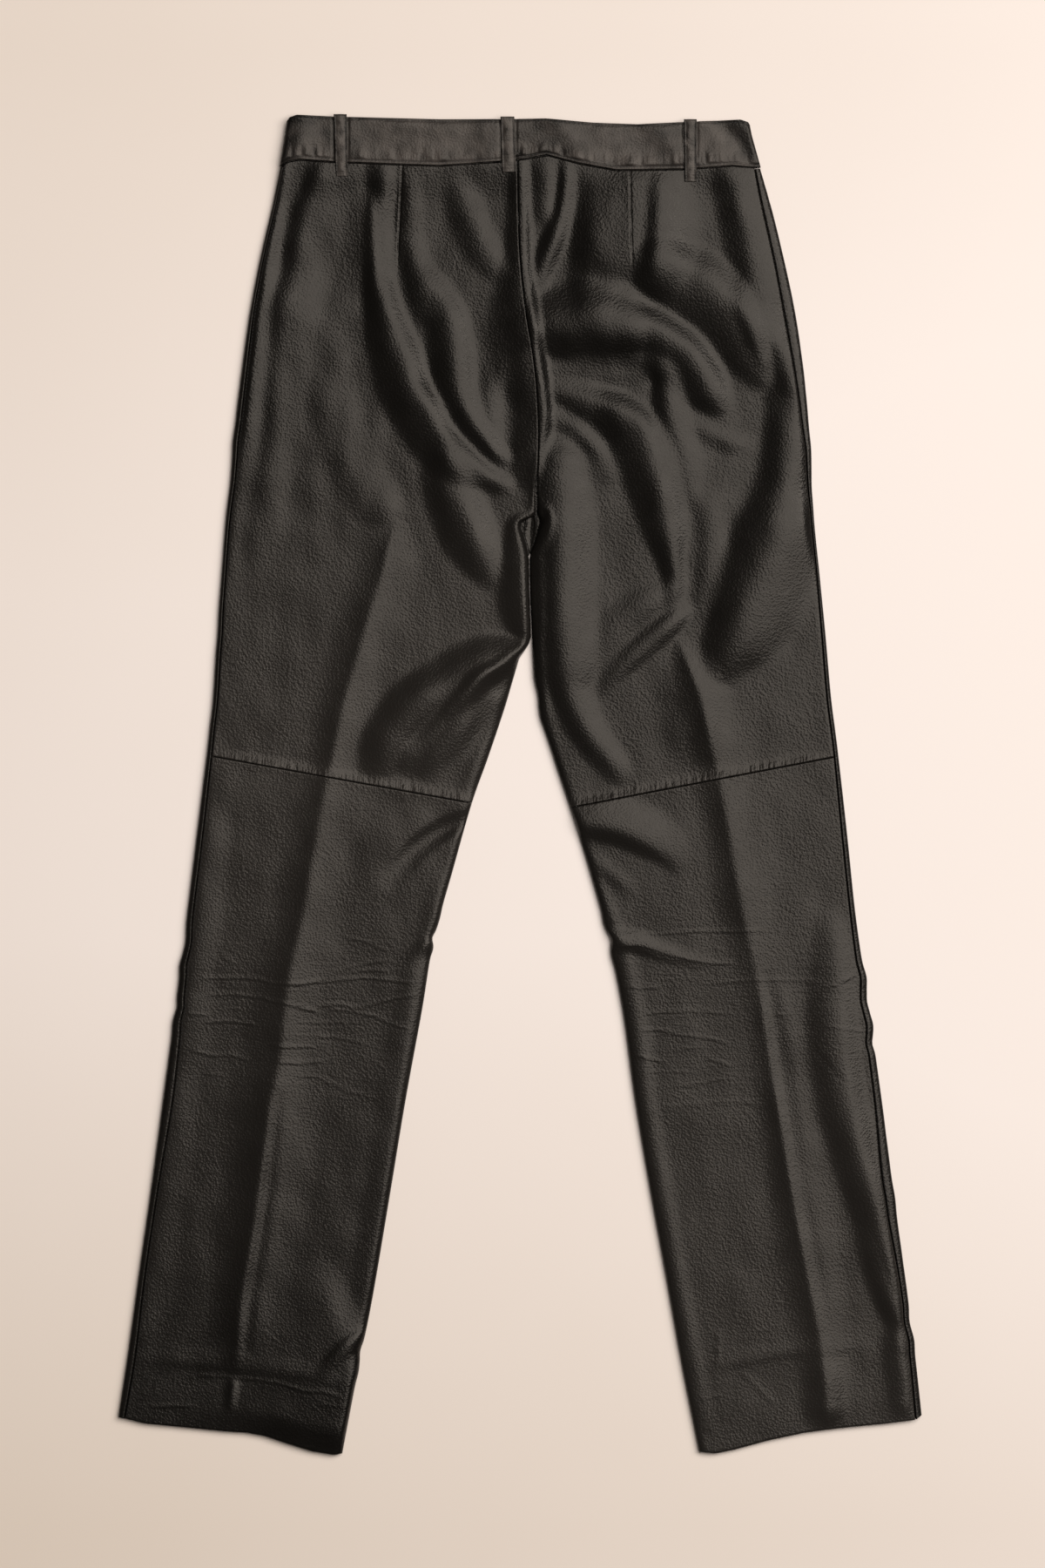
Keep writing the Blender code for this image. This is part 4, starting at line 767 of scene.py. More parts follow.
def add_fold(total, x, y, fold, profile):
    """Adds one fold's height to a panel's points."""
    line = walk(fold)
    reach = line[:, LEFT:].max()
    low, high = line.min(axis=0) - reach, line.max(axis=0) + reach
    near = (x > low[X]) & (x < high[X]) & (y > low[Y]) & (y < high[Y])
    if not near.any():
        return
    px, py = x[near], y[near]
    closest = np.full(px.shape, np.inf)
    height, spread = np.zeros(px.shape), np.ones(px.shape)
    for start, end in zip(line[:-1], line[1:]):
        run_x, run_y = end[X] - start[X], end[Y] - start[Y]
        off_x, off_y = px - start[X], py - start[Y]
        part = np.clip((off_x * run_x + off_y * run_y) / (run_x ** 2 + run_y ** 2 + 1e-9), 0, 1)
        miss_x, miss_y = off_x - part * run_x, off_y - part * run_y
        distance = np.hypot(miss_x, miss_y)
        better = distance < closest
        closest = np.where(better, distance, closest)
        hand = run_x * miss_y - run_y * miss_x
        sides = np.where(hand > 0, start[LEFT] + part * (end[LEFT] - start[LEFT]),
                         start[RIGHT] + part * (end[RIGHT] - start[RIGHT]))
        spread = np.where(better, sides, spread)
        height = np.where(better, start[HEIGHT] + part * (end[HEIGHT] - start[HEIGHT]), height)
    share = np.minimum(closest / spread, 1)
    total[near] += height * profile(share)


def eased(heights):
    """Each height drawn towards its neighbours', as a thick hide runs one fold into another."""
    for _ in range(EASING_ROUNDS):
        beside = np.pad(heights, 1, mode="edge")
        heights = (beside[:-2, 1:-1] + beside[2:, 1:-1] + beside[1:-1, :-2] + beside[1:-1, 2:]
                   + 4 * heights) / 8
    return heights


def between(grid, column, row):
    """Values of a grid at places between its points."""
    left, low = np.floor(column).astype(int), np.floor(row).astype(int)
    right_part, up_part = column - left, row - low
    lower = grid[low, left] * (1 - right_part) + grid[low, left + 1] * right_part
    upper = grid[low + 1, left] * (1 - right_part) + grid[low + 1, left + 1] * right_part
    return lower * (1 - up_part) + upper * up_part


def relief(x, y):
    """Height that every fold adds at a panel's points. The soft ones are eased on an even grid."""
    xs = np.arange(x.min() - EASING_MARGIN, x.max() + EASING_MARGIN, EASING_STEP)
    ys = np.arange(y.min() - EASING_MARGIN, y.max() + EASING_MARGIN, EASING_STEP)
    grid_x, grid_y = np.meshgrid(xs, ys)
    soft = np.zeros(grid_x.shape)
    for fold in FOLDS.values():
        add_fold(soft, grid_x, grid_y, fold, soft_fold)
    soft = eased(soft)
    total = between(soft, (x - xs[0]) / EASING_STEP, (y - ys[0]) / EASING_STEP)
    for fold in CRISP_FOLDS.values():
        add_fold(total, x, y, fold, crisp_fold)
    for height, points in WRINKLES:
        for share, spread in ((WRINKLE_RISE, WRINKLE_SPREAD), (WRINKLE_LINE, WRINKLE_LINE_SPREAD)):
            add_fold(total, x, y, wrinkle_rows(height * share, points, spread), soft_fold)
    return total


def wander(x, y, size, height, seed):
    """The hide's own unevenness, in soft swells of about one size."""
    values = [noise.noise(Vector((px / size, py / size, seed)))
              for px, py in zip(x.ravel().tolist(), y.ravel().tolist())]
    return height * np.array(values).reshape(x.shape)


def rounded_edge(distance, radius):
    """How far the leather turns down where it rolls into a seam, short of upright."""
    short = np.clip(1 - distance / radius, 0, 1)
    return radius * (1 - np.sqrt(1 - short ** 2 * ROLL_SHARE))


def spaced(start, middle, end):
    """Places along a row: distances from each end, and shares of what lies between them."""
    def places(total):
        low, high = start[-1], total - end[-1]
        return np.concatenate([start, low + (high - low) * middle, total - np.array(end)[::-1]])
    return places


def stations_between(leg, first, last, steps):
    """Stations down a leg, and how far each is from the first."""
    fine = np.linspace(first, last, 400)
    gone = lengths_along([
        ((section.side_x + section.inner_x) / 2, (section.side_y + section.inner_y) / 2)
        for section in (section_at(leg, station) for station in fine)])
    marks, sizes = zip(*[(mark if mark >= 0 else gone[-1] + mark, size) for mark, size in steps])
    places = [0.0]
    while places[-1] < gone[-1]:
        places.append(places[-1] + float(np.interp(places[-1], marks, sizes)))
    places = np.array(places) * gone[-1] / places[-1]
    return np.interp(places, gone, fine), places


def lay_cloth(name, points, wall, material, turned, masks):
    """A flat grid whose points are laid in place, with its masks for the finish and its wall."""
    rows, columns = points.shape[:2]
    shape = bmesh.new()
    bmesh.ops.create_grid(shape, x_segments=columns - 1, y_segments=rows - 1, size=1, calc_uvs=True)
    if turned:
        bmesh.ops.reverse_faces(shape, faces=shape.faces)
    order = []
    for vert in shape.verts:
        column = round((vert.co.x + 1) / 2 * (columns - 1))
        row = round((vert.co.y + 1) / 2 * (rows - 1))
        order.append((row, column))
        vert.co = points[row, column] * MM
    made = add_object(name, shape, material)
    order = np.array(order)
    for mask, values in masks.items():
        layer = made.data.attributes.new(mask, "FLOAT", "POINT")
        layer.data.foreach_set("value", values[order[:, 0], order[:, 1]].astype(np.float32))
    made.data.shade_smooth()
    shell = made.modifiers.new("wall", "SOLIDIFY")
    shell.thickness, shell.offset = wall * MM, -1
    return made


def lay_panel(leg, stations, places, front):
    """Every point of a panel before its folds, as one array for each of lay_row's values."""
    rows = [lay_row(leg, station, places, front) for station in stations]
    return {key: np.array([row[key] for row in rows]) for key in rows[0]}


# The inner edges from the seat down: one seam to the crotch, then the backs curl apart for a
# little way and show the front between them, and then the legs touch as far as the gap.
INNER_EDGE = {
    "left": [
        Edge(-11.0, 62.0), Edge(-4.6, 84.0), Edge(-0.2, 99.0), Edge(4.2, 105.0), Edge(7.2, 110.0),
        Edge(8.9, 116.0), Edge(8.7, 126.0), Edge(8.0, 140.0), Edge(7.4, 160.0), Edge(7.2, 176.0),
        Edge(6.4, 182.0), Edge(4.9, 189.0), Edge(2.6, 196.0), Edge(0.6, 201.0), Edge(1.4, 204.5),
        Edge(5.0, 207.0), Edge(10.6, 209.0), Edge(12.7, 212.0), Edge(12.8, 218.0),
        Edge(12.5, 230.0), Edge(13.6, 243.0)],
    "right": [
        Edge(14.0, 62.0), Edge(10.6, 84.0), Edge(9.7, 99.0), Edge(9.3, 108.0), Edge(9.1, 116.0),
        Edge(8.8, 126.0), Edge(8.1, 140.0), Edge(7.5, 160.0), Edge(7.4, 176.0), Edge(8.2, 182.0),
        Edge(10.8, 189.0), Edge(13.0, 196.0), Edge(14.2, 201.0), Edge(15.4, 205.0),
        Edge(14.6, 208.5), Edge(13.2, 211.0), Edge(12.7, 213.0), Edge(12.8, 218.0),
        Edge(12.5, 230.0), Edge(13.6, 243.0)],
}
FRONT_INNER_EDGE = {
    "left": INNER_EDGE["left"][:9] + [
        Edge(8.0, 172.0), Edge(12.6, 181.0), Edge(14.2, 196.0), Edge(14.2, 206.0), Edge(13.6, 243.0)],
    "right": INNER_EDGE["right"][:8] + [
        Edge(7.8, 172.0), Edge(3.6, 181.0), Edge(1.4, 196.0), Edge(3.6, 206.0), Edge(13.6, 243.0)],
}
DRAWN_STATIONS = (4, 14)         # the line is looked for between these
DRAW_REACH = 17.0        # how far in from its edge the leather gives
DRAW_FADE = 8.0          # and how far past the line's ends


def drawn_to(edge, leg, panel):
    """Shift along X that brings a panel's inner edge onto another line."""
    stations = np.linspace(*DRAWN_STATIONS, 200)
    inner = np.array([(section.inner_x, section.inner_y) for section in (
        section_at(leg, station) for station in stations)])[::-1]
    y = np.clip(panel["y"], edge[0].y, edge[-1].y)
    now = np.interp(y, inner[:, 1], inner[:, 0])
    wanted = np.interp(y, [point.y for point in edge], [point.x for point in edge])
    inside = (smooth((panel["y"] - edge[0].y + DRAW_FADE) / DRAW_FADE)
              * smooth((edge[-1].y + DRAW_FADE - panel["y"]) / DRAW_FADE))
    return (wanted - now) * inside * hill(panel["x"] - now, DRAW_REACH)


# Where the legs have been bent their edges are a little wavy: x, y, how far it reaches down the
# edge, and how far it moves the edge along X.
BEND_REACH = 13.0        # and how far in from the edge
EDGE_BENDS = (
    (-260, -122, 10, 1.3), (-266, -141, 6, -1.1), (-268, -173, 5, 1.0), (-270, -186, 6, -0.7),
    (-224, 236, 16, 0.6), (-222, 268, 9, -0.6), (-236, 118, 12, 0.5), (-67, -104, 8, 0.7),
    (-69, -119, 4, -1.5), (-70, -128, 5, 1.0), (-128, -441, 6, -1.4), (-132, -458, 7, 0.8),
    (268, -150, 8, 1.7), (270, -169, 5, -0.8), (274, -187, 7, 1.5), (277, -202, 5, -1.3),
    (291, -322, 10, 0.7), (304, -418, 8, -1.1), (306, -434, 7, 0.8), (228, 232, 12, -0.6),
    (224, 262, 10, 0.6), (66, -108, 6, -0.8), (70, -121, 5, 1.7), (74, -134, 6, -0.8), (17, 70, 7, 0.8),
    (21, 52, 7, -0.7))


def bent(x, y):
    """Points along X after the edges are bent."""
    moved = x
    for at_x, at_y, reach, move in EDGE_BENDS:
        moved = moved + move * np.exp(-((x - at_x) / BEND_REACH) ** 2 - ((y - at_y) / reach) ** 2)
    return moved


# Darts shape the seat below the waistband, one in each back. The hide is stitched into a fold
# that lies to the left under it, so the left side stands a little above the line.
DARTS = {"left": ((-92.0, 484.0), (-96.0, 402.0)), "right": ((85.6, 480.0), (87.4, 403.0))}
DART_DEPTH = 0.62        # of the line, and how wide it is
DART_WIDTH = 0.75
DART_STEP = 0.55         # the height of the left side, and how far out it is gone
DART_STEP_REACH = 7.0
DART_END = 1.03          # the line is gone at this share of its length, and starts to go this much before
DART_FADE = 0.25


def dart(x, y, side):
    """The line pressed in along a dart's stitches and the step beside it."""
    (head_x, head_y), (foot_x, foot_y) = DARTS[side]
    down = (head_y - y) / (head_y - foot_y)
    off = x - (head_x + (foot_x - head_x) * down)
    held = smooth((DART_END - down) / DART_FADE)
    raised_side = DART_STEP * np.exp(-np.abs(off) / DART_STEP_REACH) * (off < 0)
    return held * (raised_side - DART_DEPTH * hill(off, DART_WIDTH))


# Points are close together at the edges and where the looks are fine. Steps along a panel are pairs:
# so far from its top or, below 0, from its foot, the next row is so far on.
EDGE_STEPS = (0, 0.35, 0.8, 1.4, 2.2, 3.2, 4.4, 5.8, 7.4)      # a row's first places in from an edge
UPPER_MIDDLE = 104       # how many places lie between those
LOWER_MIDDLE = 84
DART_COLUMNS = {"left": (0.498, 0.533, 11), "right": (0.518, 0.580, 17)}    # shares from, to, how many
UPPER_STEPS = ((0, 0.4), (3, 0.9), (12, 2.0), (260, 2.0), (266, 1.3), (306, 1.3), (314, 2.0),
               (-14, 2.0), (-4, 0.9), (-0.5, 0.4))
LOWER_STEPS = ((0, 0.4), (4, 0.9), (10, 1.8), (70, 1.8), (85, 1.05), (235, 1.05), (255, 2.2),
               (-75, 2.2), (-65, 1.2), (-5, 1.2), (-0.5, 0.4))
STATION_AT_KNEE = 63     # from one section to the next
KNEE_GAP = SEAM_GAP / 2 / STATION_AT_KNEE      # half a seam gap, in stations

SEAM_ROLL = 0.9          # the leather rolls into a seam on this radius
HEM_ROLL = 1.8
CENTRE_ROLL_END = CROTCH + 0.3   # down to this station the inner edge is a seam
SWELL_RISE = 0.22        # the hide's small swells, which are drawn out down the leg
SWELL_STRETCH = 0.6
SEAT_SWELL_RISE = 0.25   # how much higher they get from here up, over this reach
SEAT_FROM = 150
SEAT_REACH = 120
KNEE_PUCKER_REACH = 5.0
PUCKER_ABOVE_KNEE = 0.75
PUCKER_BELOW_KNEE = 0.1
KNEE_RUB_REACH = 7.0
RUB_ABOVE_KNEE = 0.42
RUB_BELOW_KNEE = 0.16
SIDE_RUB_REACH = 4
SIDE_RUB = 0.10
CREPE = 0.05             # fine level wrinkles, with more of them behind the bend of the knee
CREPE_BEHIND_KNEE = 0.30
CREPE_Y = -175
CREPE_REACH = 75
# Painted light and shade down each leg: how much paler the dye is painted, standing in for how the light
# falls on it.
LEG_LIGHT_FROM = (-300, -150, -50, 0, 100, 200, 330, 440, 500)      # down from the middle of the trousers
LEG_PAINTED_LIGHT = {"left": (0.0, 0.38, 0.56, 0.60, 0.50, 0.44, 0.26, 0.06, 0.0),
            "right": (0.0, 0.12, 0.18, 0.24, 0.34, 0.42, 0.50, 0.58, 0.62)}


def back_panel(name, side, node, first, last, steps, middle, seed):
    """A back panel, rolled into its seams, with its folds and the hide's own unevenness."""
    leg = LEFT_LEG if side == "left" else RIGHT_LEG
    upper = first == WAIST
    stations, gone = stations_between(leg, first, last, steps)
    shares = np.linspace(0, 1, middle + 2)[1:-1]
    if upper:
        low, high, count = DART_COLUMNS[side]
        shares = np.sort(np.concatenate([shares, np.linspace(low, high, count)]))
    panel = lay_panel(leg, stations, spaced(EDGE_STEPS, shares, EDGE_STEPS), front=False)
    panel["x"] = bent(panel["x"] + drawn_to(INNER_EDGE[side], leg, panel), panel["y"])
    x, y, z = panel["x"], panel["y"], panel["z"].copy()
    from_top, from_foot = gone[:, None] + 0 * x, gone[-1] - gone[:, None] + 0 * x
    at_waist = KEPT_AT_WAIST + (1 - KEPT_AT_WAIST) * smooth(panel["station"] / FADE_AT_WAIST)
    weight = panel["top"] * at_waist * smooth((HEM - panel["station"]) / FADE_AT_HEM)
    weight = weight * smooth(panel["across"] / FADE_AT_SIDE)
    z += np.maximum(relief(x, y) * weight, panel["floor"])
    z += wander(x, y, size=34.0, height=0.35, seed=seed) * panel["top"]
    uneven = SWELL_RISE + SEAT_SWELL_RISE * rising(y, SEAT_FROM, SEAT_REACH)
    z += wander(x, y * SWELL_STRETCH, size=17.0, height=1.0, seed=seed + 3) * uneven * panel["top"]
    if upper:
        z += dart(x, y, side) * panel["top"]
    at_centre = panel["total"] - panel["along"]
    z -= rounded_edge(panel["along"], SEAM_ROLL)
    z -= np.where(panel["station"] < CENTRE_ROLL_END, rounded_edge(at_centre, SEAM_ROLL), 0)
    z -= rounded_edge(from_top, SEAM_ROLL) * panel["top"]
    z -= rounded_edge(from_foot, SEAM_ROLL if upper else HEM_ROLL) * panel["top"]
    from_knee = from_foot if upper else from_top
    pucker, rub = (PUCKER_ABOVE_KNEE, RUB_ABOVE_KNEE) if upper else (PUCKER_BELOW_KNEE, RUB_BELOW_KNEE)
    rubbed = (np.exp(-from_knee / KNEE_RUB_REACH) * rub
              + np.exp(-panel["along"] / SIDE_RUB_REACH) * SIDE_RUB)
    masks = {
        "pucker": hill(from_knee, KNEE_PUCKER_REACH) * pucker * rising(panel["along"], start=0, reach=25),
        "crepe": hill(panel["y"] - CREPE_Y, CREPE_REACH) * CREPE_BEHIND_KNEE + CREPE,
        # rubbed places, and the painted light and shade down the leg
        "wear_and_painted_light": np.clip(rubbed + np.interp(-y, LEG_LIGHT_FROM, LEG_PAINTED_LIGHT[side]), 0, 1)}
    piece = lay_cloth(name, np.stack([x, y, z], axis=-1), WALL, BLACK_NAPPA, side == "left", masks)
    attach(piece, "root")
    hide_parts(node)
    return piece


BACKS = {}
for side, seed in (("left", 3.1), ("right", 7.7)):
    BACKS[side, "upper"] = back_panel(
        f"seat_and_thigh_{side}", side, f"back_{side}_upper", WAIST, KNEE - KNEE_GAP,
        UPPER_STEPS, UPPER_MIDDLE, seed)
    BACKS[side, "lower"] = back_panel(
        f"back_of_calf_{side}", side, f"back_{side}_lower", KNEE + KNEE_GAP, HEM,
        LOWER_STEPS, LOWER_MIDDLE, seed + 20)


# --- Front panels --------------------------------------------------------------------------
# Whole from the waist to the hem and of the same hide. They lie flat under the backs and wrap
# round the sides, so a narrow strip of them shows outside each side seam.
FRONT_START = (0, 0.35, 0.8, 1.4, 2.2, 3.2)
FRONT_END = (0, 0.35, 0.8, 1.4, 2.1, 2.9, 3.8, 4.8, 5.9, 7.1, 8.4, 9.8, 11.3, 12.9, 14.6, 16.5, 19)
FRONT_MIDDLE = 44
FRONT_SIDE_RUB = 0.3
FRONT_STEPS = ((0, 0.5), (4, 1.2), (14, 3.0), (-20, 3.0), (-4, 1.0), (-0.5, 0.5))

FRONTS = {}
for side, leg in (("left", LEFT_LEG), ("right", RIGHT_LEG)):
    stations, gone = stations_between(leg, WAIST, HEM, FRONT_STEPS)
    middle = np.linspace(0, 1, FRONT_MIDDLE + 2)[1:-1]
    panel = lay_panel(leg, stations, spaced(FRONT_START, middle, FRONT_END), front=True)
    panel["x"] = bent(panel["x"] + drawn_to(FRONT_INNER_EDGE[side], leg, panel), panel["y"])
    x, y, z = panel["x"], panel["y"], panel["z"].copy()
    to_side = panel["total"] - panel["along"]
    z -= rounded_edge(to_side, SEAM_ROLL)
    masks = {"pucker": 0 * x, "crepe": 0 * x + CREPE,
             "wear_and_painted_light": np.exp(-to_side / SIDE_RUB_REACH) * FRONT_SIDE_RUB}
    piece = lay_cloth(
        f"front_panel_{side}", np.stack([x, y, z], axis=-1), WALL, BLACK_NAPPA, side == "left", masks)
    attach(piece, "root")
    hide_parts(f"front_{side}")
    FRONTS[side] = piece


# --- Waistband -----------------------------------------------------------------------------
# Two halves of firm doubled hide, joined at the centre back under the middle loop and open at the
# front. The hide is gathered a little where each is stitched down along the waist seam.
BAND_WALL = 2.4
BAND_UNDERSIDE = 1.8     # the heights of its under and its upper face
BAND_TOP = 8.5
BAND_ROUND = 4.2         # how far in from its sides it takes to turn over
BAND_JOINT_X = -9.0      # where the halves meet at the back and at the front
BAND_FRONT_X = 1.5
BAND_SIDE = {"left": (-187.4, -182.0), "right": (187.9, 179.4)}   # x at the seam and at the top
BAND_DEPTH = 33.5
BAND_BACK_LENGTH = 175   # each half's columns are spread over these, and then stretched to fit
BAND_FRONT_LENGTH = 185
BAND_BACK_STEP = 0.85
BAND_FRONT_STEP = 4.0
BAND_END_PLACES = (1.6, 1.0, 0.6, 0.25, 0)       # the last ones before a half's end
BAND_END_ROOM = 2.4
BAND_ROWS = (0, 0.3, 0.7, 1.2, 1.6, 1.9, 2.2, 2.6, 3.2, 4.0, 5.0, 6.2, 7.6, 9.2, 11.0, 13.0, 15.3,
             17.8, 20.3, 22.8, 25.3, 27.6, 29.4, 30.6, 31.2, 31.5, 31.8, 32.2, 32.7, 33.1, 33.5)
BAND_STITCH = 1.9        # how far in from each edge it is stitched
STITCH_DEPTH = 0.30      # how deep the thread pulls the hide down, and how wide
STITCH_WIDTH = 0.65
GATHER_AT = 5.2          # how far up it is gathered most
GATHER_REACH = 4.6
GATHER_RISE = 1.25
GATHER_LEAST = 0.35      # it is gathered unevenly, and never less than this share
GATHER_PUCKER = 0.25
# how much paler it is painted where gathered: partly rubbed dye, partly painted sheen on the puckers
GATHER_SHEEN_AND_RUB = 0.15
BAND_ROLLS = (           # x, rise and reach of its broad swells
    (-171, 1.7, 10), (-24, 0.9, 12), (43, 1.6, 13), (116, 0.8, 12), (170, -1.7, 10))
BAND_SWELL_FADE = 6      # smaller swells fade out this near to its edges
BAND_MIDDLE_Y = 500      # on the right the swells, the worn places and the painted shadow slant about this height
ROLL_SLANT = 0.8         # so far along X for each mm up
WEAR_AND_SHADE_SLANT = 0.6
LOOP_EDGES = (-145.6, -134.0, -15.2, -3.0, 127.4, 138.2)      # the back is dented beside each loop
LOOP_DENT = 0.9
LOOP_DENT_REACH = 0.9
BAND_FOOT_ROLL = 0.5     # it turns over on these radii at its foot and on its other edges
BAND_ROLL = 0.8
FOOT_PAINTED_HIGHLIGHT = 0.22          # a painted highlight on the lip along its foot, and painted shade along its top where it rolls over
FOOT_HIGHLIGHT_AT = 1.0
FOOT_HIGHLIGHT_REACH = 0.7
TOP_PAINTED_SHADE = 0.30
TOP_PAINTED_SHADE_REACH = 3.0
# How much paler the back of the waistband is painted along it: partly dye rubbed off, partly painted shade,
# dark at its ends where it rolls over and in a slanting painted shadow just right of the middle.
BAND_WEAR_AND_SHADE_AT = (-187, -178, -170, -152, -128, -104, -66, -34, -16, 0, 14, 30, 46, 64, 96, 116, 128,
                  144, 158, 168, 176, 188)
BAND_WEAR_AND_SHADE = (0.0, 0.05, 0.30, 0.36, 0.42, 0.62, 0.72, 0.58, 0.40, 0.30, 0.16, 0.22, 0.46, 0.60, 0.50,
             0.34, 0.42, 0.60, 0.66, 0.34, 0.05, 0.0)

BAND_NAPPA = nappa("black_band_nappa", dye=(0.0035, 0.0030, 0.0026), paler_dye=(0.0520, 0.0436, 0.0377),
                   roughness=0.36)


def top_y(x, front):
    """Upper edge of the waistband."""
    level = edge_y(BAND_TOP_EDGE, x)
    return level - dip(x) if front else level


def groove(distance):
    """The line that a row of stitches presses into the hide."""
    return -STITCH_DEPTH * hill(distance, STITCH_WIDTH)


def band_point(side, share, across, up, under):
    """A place on the waistband, by its share of the way up and how far in it is from the side."""
    low_x, high_x = BAND_SIDE[side]
    x = low_x + (high_x - low_x) * share + across * (1 if side == "left" else -1)
    low = seam_y(x, under) + WAIST_GAP / 2
    return x, low + (top_y(x, under) - low) * share, BAND_UNDERSIDE + up


def close_at_end(length, step):
    """Evenly spaced places, with closer ones where the hide rolls over at the far end."""
    close = [length - gap for gap in BAND_END_PLACES]
    return list(np.arange(step, length - BAND_END_ROOM, step)) + close


BANDS = {}
for side in ("left", "right"):
    half = (BAND_TOP - BAND_UNDERSIDE) / 2
    rows = []
    for mark in BAND_ROWS:
        share = mark / BAND_DEPTH
        side_x = BAND_SIDE[side][0] + (BAND_SIDE[side][1] - BAND_SIDE[side][0]) * share
        back = abs(BAND_JOINT_X - side_x) - SEAM_GAP / 2 - BAND_ROUND
        front = abs(BAND_FRONT_X - side_x) - SEAM_GAP / 2 - BAND_ROUND
        path = [(BAND_ROUND + back * gap / BAND_BACK_LENGTH, 2 * half, False)
                for gap in close_at_end(BAND_BACK_LENGTH, BAND_BACK_STEP)[::-1]]
        path += [(across, up, up < half) for across, up in bend(BAND_ROUND, half, 0, math.pi)]
        path += [(BAND_ROUND + front * gap / BAND_FRONT_LENGTH, 0.0, True)
                 for gap in close_at_end(BAND_FRONT_LENGTH, BAND_FRONT_STEP)]
        row = [band_point(side, share, *place) for place in path]
        lengths = np.cumsum([0] + [math.dist(one, two) for one, two in zip(row, row[1:])])
        rows.append([(*point, up / half - 1, gone, lengths[-1] - gone)
                     for point, (_, up, _), gone in zip(row, path, lengths)])
    band = np.array(rows)
    x, y, z, facing, from_joint, from_front = np.moveaxis(band, -1, 0)
    from_foot = np.array(BAND_ROWS)[:, None] + 0 * x
    from_top = BAND_DEPTH - from_foot
    gather = hill(from_foot - GATHER_AT, GATHER_REACH) * rising(from_foot, start=2.2, reach=1.6)
    patches = smooth(wander(x, 0 * y, size=30.0, height=2.2, seed=4.4) + 0.5)
    gather = gather * (GATHER_LEAST + (1 - GATHER_LEAST) * patches)
    crimps = (wander(x * 5.5, y, size=26.0, height=1.0, seed=5.5)
              + wander(x * 11, y * 1.6, size=26.0, height=0.5, seed=9.5))
    rolls = sum(rise * hill(x - at + ROLL_SLANT * (y - BAND_MIDDLE_Y) * (x > 0), reach)
                for at, rise, reach in BAND_ROLLS)
    dents = LOOP_DENT * sum(hill(x - edge, LOOP_DENT_REACH) for edge in LOOP_EDGES) * (facing > 0)
    swells = (wander(x, y * 1.5, size=26.0, height=1.0, seed=2.2)
              * smooth(from_foot / BAND_SWELL_FADE) * smooth(from_top / BAND_SWELL_FADE))
    shape_up = (GATHER_RISE * crimps * gather - dents + rolls + groove(from_foot - BAND_STITCH)
                + groove(from_top - BAND_STITCH) + swells)
    for distance, radius in ((from_foot, BAND_FOOT_ROLL), (from_top, BAND_ROLL),
                             (from_joint, BAND_ROLL), (from_front, BAND_ROLL)):
        shape_up = shape_up - rounded_edge(distance, radius)
    z = z + shape_up * facing
    shade = (wander(x, y, size=9.0, height=0.50, seed=6.1)
             + wander(x * 3.2, y, size=16.0, height=0.9, seed=7.3) * gather)
    # Painted highlight along the lip at its foot, and painted shade along its rolled top edge.
    edge_highlight_and_shade = (FOOT_PAINTED_HIGHLIGHT * hill(from_foot - FOOT_HIGHLIGHT_AT, FOOT_HIGHLIGHT_REACH)
                  - TOP_PAINTED_SHADE * np.exp(-from_top / TOP_PAINTED_SHADE_REACH))
    # Rubbed dye, with painted shade at the ends and a slanting painted shadow right of the middle.
    wear_and_shade = np.interp(x + (y - BAND_MIDDLE_Y) * WEAR_AND_SHADE_SLANT * (x > -4), BAND_WEAR_AND_SHADE_AT, BAND_WEAR_AND_SHADE)
    masks = {"pucker": gather * GATHER_PUCKER, "crepe": 0 * x,
             "wear_and_painted_light": np.clip(wear_and_shade + gather * GATHER_SHEEN_AND_RUB + shade + edge_highlight_and_shade, 0, 1)}
    points = np.stack([x, y, z], axis=-1)
    piece = lay_cloth(f"waistband_half_{side}", points, BAND_WALL, BAND_NAPPA, side == "left", masks)
    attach(piece, "root")
    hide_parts(f"waistband_{side}")
    BANDS[side] = piece


# --- Belt loops ----------------------------------------------------------------------------
# Narrow strips of doubled hide, edge-stitched on both sides. The three at the back are folded
# over the top of the waistband and tacked down below its seam, the two at the front lie flat.
LOOP_WALL = 1.6
BACK_LOOPS = {           # (left x, right x, y) at the top and at the foot
    "left": ((-145.2, -135.0, 522.0), (-143.6, -134.0, 474.2)),
    "centre": ((-15.2, -4.3, 522.0), (-14.0, -3.0, 477.4)),
    "right": ((127.8, 137.8, 522.0), (128.4, 137.6, 470.0)),
}
FRONT_LOOP_WALL = 1.4
FRONT_LOOP_X = 78.0
FRONT_LOOP_WIDTH = 10.0
FRONT_LOOP_FOOT = 9.0    # how far below the waist seam they end
STATION_AT_WAIST = 35.0  # from one section to the next
LOOP_COLUMNS = (0, 0.05, 0.1, 0.14, 0.18, 0.25, 0.35, 0.5, 0.65, 0.75, 0.82, 0.86, 0.9, 0.95, 1)
LOOP_STITCH = 1.5        # how far in from each edge it is stitched
LOOP_STEP = 1.0
LOOP_END_PLACES = np.array((0, 0.3, 0.7))        # the first and the last ones along it
# How a loop turns over the waistband: so far above the top edge, and so far above its own face.
LOOP_FOLD = ((1.9, -2.4), (1.8, -0.9), (1.1, -0.15), (-1.0, 0))
FOLD_END = 3             # the row where the fold over the top ends
LOOP_ROLL = 0.8
LOOP_TACK = 1.7          # how far above its end a loop is sewn down
TACK_SHORT = 1.2         # and how far short of its edges
LOOP_MIDDLE_RISE = 0.3   # its middle stands up between the two rows of stitches
LOOP_CREPE = 0.7
LOOP_WORN = 0.10         # how far the dye has rubbed off; the next is how much paler its middle is painted, which leaves painted shade along its edges
LOOP_PAINTED_EDGE_SHADE = 0.50
LOOP_TACK_PALER = 0.45    # and how much paler it is at the tack
